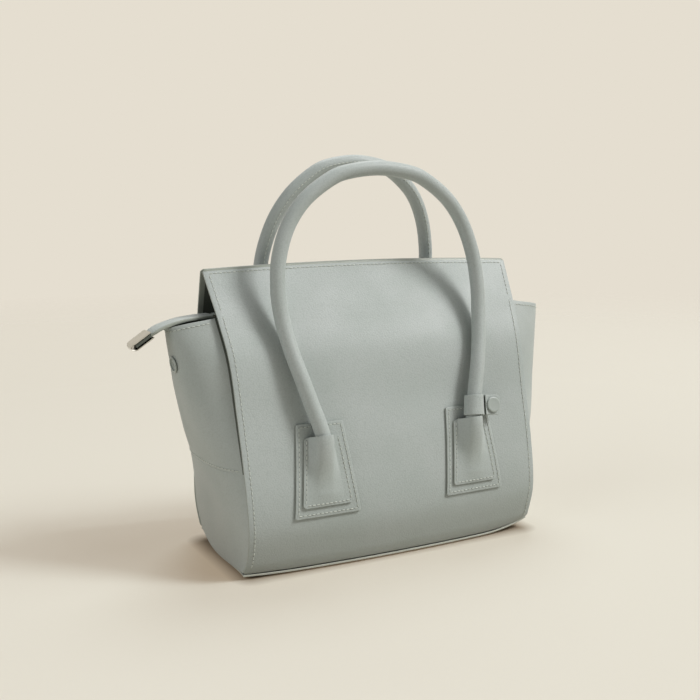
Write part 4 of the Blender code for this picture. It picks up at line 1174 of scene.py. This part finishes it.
def makeTailClip():
    mouth = tailMiddle(1.0)
    _, way, up = tailFrame(1.5)
    half = tail["clipThickness"] / 2
    straight, bendLength = tail["clipLength"] - half, math.pi * half
    total = 2 * straight + bendLength

    def place(u, v):
        s = u * total
        if s < straight:
            along, lift = s, half
        elif s > straight + bendLength:
            along, lift = total - s, -half
        else:
            a = (s - straight) / half
            along, lift = straight + half * math.sin(a), half * math.cos(a)
        narrow = roundCut(tail["clipRound"], tail["clipLength"] - along) * tail["clipTaper"]
        across = (2 * v - 1) * (tail["clipWidth"] / 2 - narrow)
        return mouth + way * along + up * lift + Vector((0, across, 0))

    piece = gridPiece("zip_tail_clip", *tail["clipGrid"], place)
    faceOutwards(piece, lambda p: p - (mouth + way * tail["clipLength"] / 2))
    applyModifier(piece, "SOLIDIFY", thickness=tail["clipWall"], offset=-1.0)
    roundEdges(piece, tail["clipRounding"])
    smoothShade(piece, 40)
    dress(piece, "zip_tail", ["zip_tail_cap"], "nickel")


makeTail()
makeTailClip()
print("zip tail made")


# ---- press studs on the wings
stud = {"radius": 0.00625, "height": 0.0016, "dishRadius": 0.0047, "forward": 0.0035, "z": 0.156, "sides": 48}


def turnedPiece(name, profile, seat):
    # a disc, extruded ring by ring; every step is (radius, height)
    deselect()
    radius, height = profile[0]
    bpy.ops.mesh.primitive_circle_add(vertices=stud["sides"], radius=radius, fill_type="NGON",
                                      location=(0, 0, height))
    piece = bpy.context.object
    piece.name = piece.data.name = name
    steps = []
    for nextRadius, nextHeight in profile[1:]:
        moved, share = {"value": (0, 0, nextHeight - height)}, nextRadius / radius
        steps.append((bpy.ops.mesh.extrude_edges_move,
                      {"MESH_OT_extrude_edges_indiv": {}, "TRANSFORM_OT_translate": moved}))
        steps.append((bpy.ops.transform.resize, {"value": (share, share, 1), "center_override": (0, 0, 0)}))
        radius, height = nextRadius, nextHeight
    edited(piece, *steps, (bpy.ops.mesh.edge_face_add, {}), allOfIt, recalculated)
    piece.data.transform(seat @ piece.matrix_world)
    piece.matrix_world = Matrix.Identity(4)
    smoothShade(piece, 50)
    return piece


def makeSideStuds():
    r, h, dish = stud["radius"], stud["height"], stud["dishRadius"]
    cap = [(0.0016, -0.0032), (0.0016, 0.0002), (r - 0.0006, 0.0002), (r, 0.0006), (r, h - 0.0005),
           (r - 0.0003, h - 0.0001), (r - 0.0008, h), (dish + 0.0004, h), (dish, h - 0.0002),
           (dish - 0.0002, h - 0.0018), (dish - 0.0008, h - 0.0022), (0.0022, h - 0.0022),
           (0.0010, h - 0.0020)]
    washer = [(0.0019, -0.0033), (0.0036, -0.0033), (0.0036, -0.0026), (0.0019, -0.0026)]
    for word, side in (("left", -1), ("right", 1)):
        across = -stud["forward"] / seamPoint(side, 1, stud["z"]).y
        out = wingOut(side, across, stud["z"])
        seat = frameAt(wingPoint(side, across, stud["z"]), out, Vector((0, 1, 0)))
        dress(turnedPiece(word + "_stud_cap", cap, seat),
              "bag", [word + "_side_stud"], "lacquer")
        dress(turnedPiece(word + "_stud_ring", washer, seat),
              "bag", [word + "_stud_washer"], "nickel")


makeSideStuds()
print("side studs made")


# ---- keeper strap round the front right leg
keeper = {"place": (0.06737, -0.06083, 0.10479), "up": (0.0844, 0.2478, 0.9651), "height": 0.0160,
          "sway": 0.0004, "leather": 0.0010, "face": 0.0013, "pinch": 0.0086, "reach": 0.0245,
          "flapStart": 0.0102, "ring": 0.00752, "spring": 0.0007, "springReach": 0.0036, "opening": 25,
          "tip": 0.0004, "studPlace": 0.0176, "corner": 0.0030, "skew": 0.12, "rounding": 0.00028,
          "rows": 12, "flapColumns": 26, "ringSteps": 14, "endSteps": 10}


def keeperOutline():
    # outer face of the strap, from its rear end round the leg to the pinch
    face, outer, start = keeper["face"], keeper["ring"], math.radians(keeper["opening"])
    points = [(mixed(keeper["reach"], keeper["pinch"], share), face) for share in spaced(keeper["endSteps"])]
    for first, last, centre in ((start, math.pi / 2, 1), (math.pi / 2, 3 * math.pi / 2, -1),
                                (3 * math.pi / 2, 2 * math.pi - start, 1)):
        for share in spaced(keeper["ringSteps"]):
            a = mixed(first, last, share)
            points.append((centre * keeper["sway"] + outer * math.cos(a), outer * math.sin(a)))
    points.append((keeper["pinch"] + keeper["tip"], -face))
    return points


def makeKeeper():
    seat = frameAt(Vector(keeper["place"]), Vector(keeper["up"]), Vector((1, 0, 0)))
    outline, height = keeperOutline(), keeper["height"]

    def trimmed(x, v, y=1):
        # height on the strap, between the rounded corners of its two ends
        cut = roundCut(keeper["corner"], keeper["reach"] - x) if y > 0 else 0.0
        return mixed(cut, height - cut, v)

    def loopPlace(u, v):
        x, y = outline[round(u * (len(outline) - 1))]
        z = trimmed(x, v, y)
        around = 1 - eased((x - keeper["ring"] / 2) / (keeper["pinch"] - keeper["ring"] / 2))
        x += keeper["skew"] * around * height * (v - 0.5)      # the ring leans with the leg
        return seat @ Vector((x, y, z))

    def flapPlace(u, v):
        x = mixed(keeper["flapStart"], keeper["reach"], u)
        # springs up from the pinch
        rise = keeper["spring"] * (1 - eased((x - keeper["flapStart"]) / keeper["springReach"]))
        return seat @ Vector((x, -keeper["face"] - rise, trimmed(x, v)))

    loop = gridPiece("keeper_strap", len(outline) - 1, keeper["rows"], loopPlace)
    makeLeatherSheet(loop, keeper["leather"], lambda p: p - seat.translation, keeper["rounding"])
    dress(loop, "keeper", ["keeper_loop"])
    flap = gridPiece("keeper_strap_end", keeper["flapColumns"], keeper["rows"], flapPlace)
    makeLeatherSheet(flap, keeper["leather"], lambda p: Vector((0, -1, 0)), keeper["rounding"])
    dress(flap, "keeper_flap", ["keeper_flap"])
    there = Matrix.Translation((keeper["studPlace"], 0, height / 2))
    turn = seat @ there @ Matrix.Rotation(math.pi / 2, 4, "X")
    r, h, f = stud["radius"], stud["height"], keeper["face"]
    cap = [(r - 0.0006, f + 0.0002), (r, f + 0.0006), (r, f + h - 0.0004), (r - 0.0003, f + h - 0.0001),
           (r - 0.0009, f + h + 0.0001), (r - 0.0018, f + h), (0.0034, f + h - 0.0001),
           (0.0010, f + h - 0.0001)]
    dress(turnedPiece("keeper_cap", cap, turn),
          "keeper_flap", ["keeper_stud_cap"], "lacquer")
    back, ball = -f - 0.0003, f - 0.0003
    post = [(0.0036, back - 0.0008), (0.0036, back), (0.0016, back), (0.0016, 0.0), (0.0018, ball / 2),
            (0.0018, ball * 0.75), (0.0009, ball)]
    dress(turnedPiece("keeper_post", post, turn),
          "keeper", ["keeper_stud_post"], "nickel")


makeKeeper()
print("keeper made")


# ---- cloth lining, sewn in behind the zip facings
lining = {"low": 0.0085, "high": 0.1820, "side": 0.0075, "nose": 0.0062, "cloth": 0.0005, "inset": 0.0044,
          "columns": 132, "rows": 46, "aboveBase": 0.001,
          # the cloth's slack folds: their depth, and radians round the bag and a metre up
          "slack": 0.0011, "folds": (62, 3, 40, 70, 9)}


def liningPoint(u, z):
    # once round the bag: front, right, back, left
    reach = 1 - (bag["lip"] + lining["side"]) / halfWidth(z)
    quarter, t = int(u * 4 % 4), u * 4 % 1
    s = (2 * t - 1) * (1 if quarter < 2 else -1)
    z = max(z, bag["baseLeather"] + lining["aboveBase"])
    if quarter in (0, 2):
        return panelPoint(quarter - 1, reach * s, z, lining["inset"])
    side = 2 - quarter
    corner = panelPoint(-1 if s < 0 else 1, side * reach, z, lining["inset"])
    x = mixed(creaseReach(side, z) - lining["nose"], abs(corner.x), abs(s) ** bag["creasePower"])
    return Vector((side * x, abs(s) * corner.y, corner.z))


def makeLining():
    round1, bend1, rise1, rise2, round2 = lining["folds"]

    def place(u, v):
        z = mixed(lining["low"], lining["high"], v)
        point = liningPoint(u, z)
        away = Vector((point.x, point.y, 0)).normalized()
        wave = math.sin(u * round1 + bend1 * math.sin(z * rise1)) * math.sin(z * rise2 + round2 * u)
        return point + away * lining["slack"] * (wave * 0.5 - 0.5)

    piece = gridPiece("lining_cloth_bag", lining["columns"], lining["rows"], place)
    # closed along its side, then its lower rim is filled with a bottom
    edited(piece, (bpy.ops.mesh.remove_doubles, {"threshold": merge}),
           (bpy.ops.mesh.select_mode, {"type": "EDGE"}), (bpy.ops.mesh.select_all, {"action": "DESELECT"}),
           (bpy.ops.mesh.select_non_manifold, {}))
    for edge in piece.data.edges:
        if max(piece.data.vertices[i].co.z for i in edge.vertices) > (lining["low"] + lining["high"]) / 2:
            edge.select = False
    edited(piece, (bpy.ops.mesh.edge_face_add, {}), allOfIt, recalculated, start=None)
    applyModifier(piece, "SOLIDIFY", thickness=lining["cloth"], offset=-1.0)
    smoothShade(piece, 60)
    dress(piece, "bag", ["lining_bag"], "lining")


makeLining()
print("lining made")


# ---- CAD nodes that stay: hidden stiffeners and the ropes in the handles
kept = {"front_board": "board", "back_board": "board",
        "front_handle_core": "rope", "rear_handle_core": "rope"}
for name, key in kept.items():
    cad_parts[name].data.materials.clear()
    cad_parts[name].data.materials.append(finishes[key])


# ---- floor, world and lamps
studio = {
    "floorColour": "#ACB2AE", "floorTooth": "#AAB0AC", "toothScale": 300.0, "floorGlow": "#FDD5A8",
    # the floor's glow is painted light, and its contact colour a painted contact shadow at the foot of the bag
    "floorGlowShare": 0.26, "contactShadowInset": 0.009, "contactShadowReach": 0.017, "contactShadowColour": "#8A7C6A",
    "floorSize": 7.0, "floorDrop": 0.0002, "fadeStart": 0.8, "fadeEnd": 2.4,
    "backdrop": "#E5DED0", "ambient": "#F0F1F3", "ambientStrength": 0.14, "aim": (0, 0, 0.12),
    # name: turn and rise in degrees, distance, size, power, colour
    "lamps": {
        "key": (54, 45, 8.0, 2.1, 440, "#FDFDFC"),
        "keyHalo": (54, 45, 8.0, 6.4, 250, "#FDFDFC"),
        "back": (150, 62, 6.0, 3.0, 150, "#FBFBFB"),
        "fill": (-80, 25, 4.0, 3.0, 47, "#FAFBFC"),
    },
}


def makeFloor():
    deselect()
    bpy.ops.mesh.primitive_plane_add(size=studio["floorSize"], location=(0, 0, -studio["floorDrop"]))
    floor = bpy.context.object
    floor.name = "floor"
    made, tree, shader, place = newFinish("matPaper", 0.85)

    def measured(operation, output, *inputs):
        return addNode(tree, "VectorMath", dict(enumerate(inputs)), operation=operation).outputs[output]

    tooth = addNode(tree, "TexNoise", {"Vector": place, "Scale": studio["toothScale"], "Detail": 3.0})
    paper = mixColours(tree, tooth.outputs["Fac"], srgb(studio["floorColour"]), srgb(studio["floorTooth"]))
    shader.inputs["Specular IOR Level"].default_value = 0.1
    # painted light: the floor glows with the light of the rest of the studio, which keeps the shadows open
    shader.inputs["Emission Color"].default_value = srgb(studio["floorGlow"])
    # ... and which fades out close to the foot of the bag, where the floor is in its shade
    low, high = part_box("base_panel")
    inset = studio["contactShadowInset"]
    foot = Vector(((high.x - low.x) / 2, (high.y - low.y) / 2, 0.0)) - Vector((inset, inset, 0))
    beyond = measured("SUBTRACT", 0, measured("ABSOLUTE", 0, place), foot)
    away = measured("LENGTH", "Value", measured("MAXIMUM", 0, beyond, (0, 0, 0)))
    clearOfContactShadow = ranged(tree, away, 0.0, studio["contactShadowReach"], 0.0, 1.0)
    glow = addNode(tree, "Math", {0: clearOfContactShadow, 1: studio["floorGlowShare"]}, operation="MULTIPLY")
    tree.links.new(glow.outputs[0], shader.inputs["Emission Strength"])
    # painted contact shadow: near the foot of the bag the floor's colour turns dark warm brown
    paper = mixColours(tree, clearOfContactShadow, srgb(studio["contactShadowColour"]), paper)
    tree.links.new(paper, shader.inputs["Base Color"])
    fade = ranged(tree, measured("LENGTH", "Value", place), studio["fadeStart"], studio["fadeEnd"], 0.0, 1.0)
    clear = addNode(tree, "BsdfTransparent").outputs[0]
    blend = addNode(tree, "MixShader", {0: fade, 1: shader.outputs[0], 2: clear}).outputs[0]
    tree.links.new(blend, tree.nodes["Material Output"].inputs["Surface"])
    floor.data.materials.append(made)


def makeWorld():
    world = bpy.data.worlds.new("studio")
    bpy.context.scene.world = world
    world.use_nodes = True
    tree = world.node_tree
    tree.nodes.clear()
    rays = addNode(tree, "LightPath").outputs
    seen = rays["Is Camera Ray"]
    for kind in ("Is Glossy Ray", "Is Transmission Ray"):
        seen = addNode(tree, "Math", {0: seen, 1: rays[kind]}, operation="MAXIMUM").outputs[0]
    soft, shown = (addNode(tree, "Background", {"Color": srgb(studio[key]), "Strength": strength}).outputs[0]
                   for key, strength in (("ambient", studio["ambientStrength"]), ("backdrop", 1.0)))
    both = addNode(tree, "MixShader", {0: seen, 1: soft, 2: shown}).outputs[0]
    addNode(tree, "OutputWorld", {"Surface": both})


def addSoftbox(name, turn, rise, distance, size, power, colour):
    place = directionTo(turn, rise) * distance
    deselect()
    bpy.ops.object.light_add(type="AREA", location=place)
    lamp = bpy.context.object
    lamp.name = name
    lamp.data.shape = "DISK"
    lamp.data.size = size
    lamp.data.energy = power
    lamp.data.color = srgb(colour)[:3]
    lamp.rotation_euler = (Vector(studio["aim"]) - place).to_track_quat("-Z", "Y").to_euler()


makeFloor()
makeWorld()
for name, settings in studio["lamps"].items():
    addSoftbox(name, *settings)
print("studio ready")

bpy.context.scene.view_settings.view_transform = "Standard"
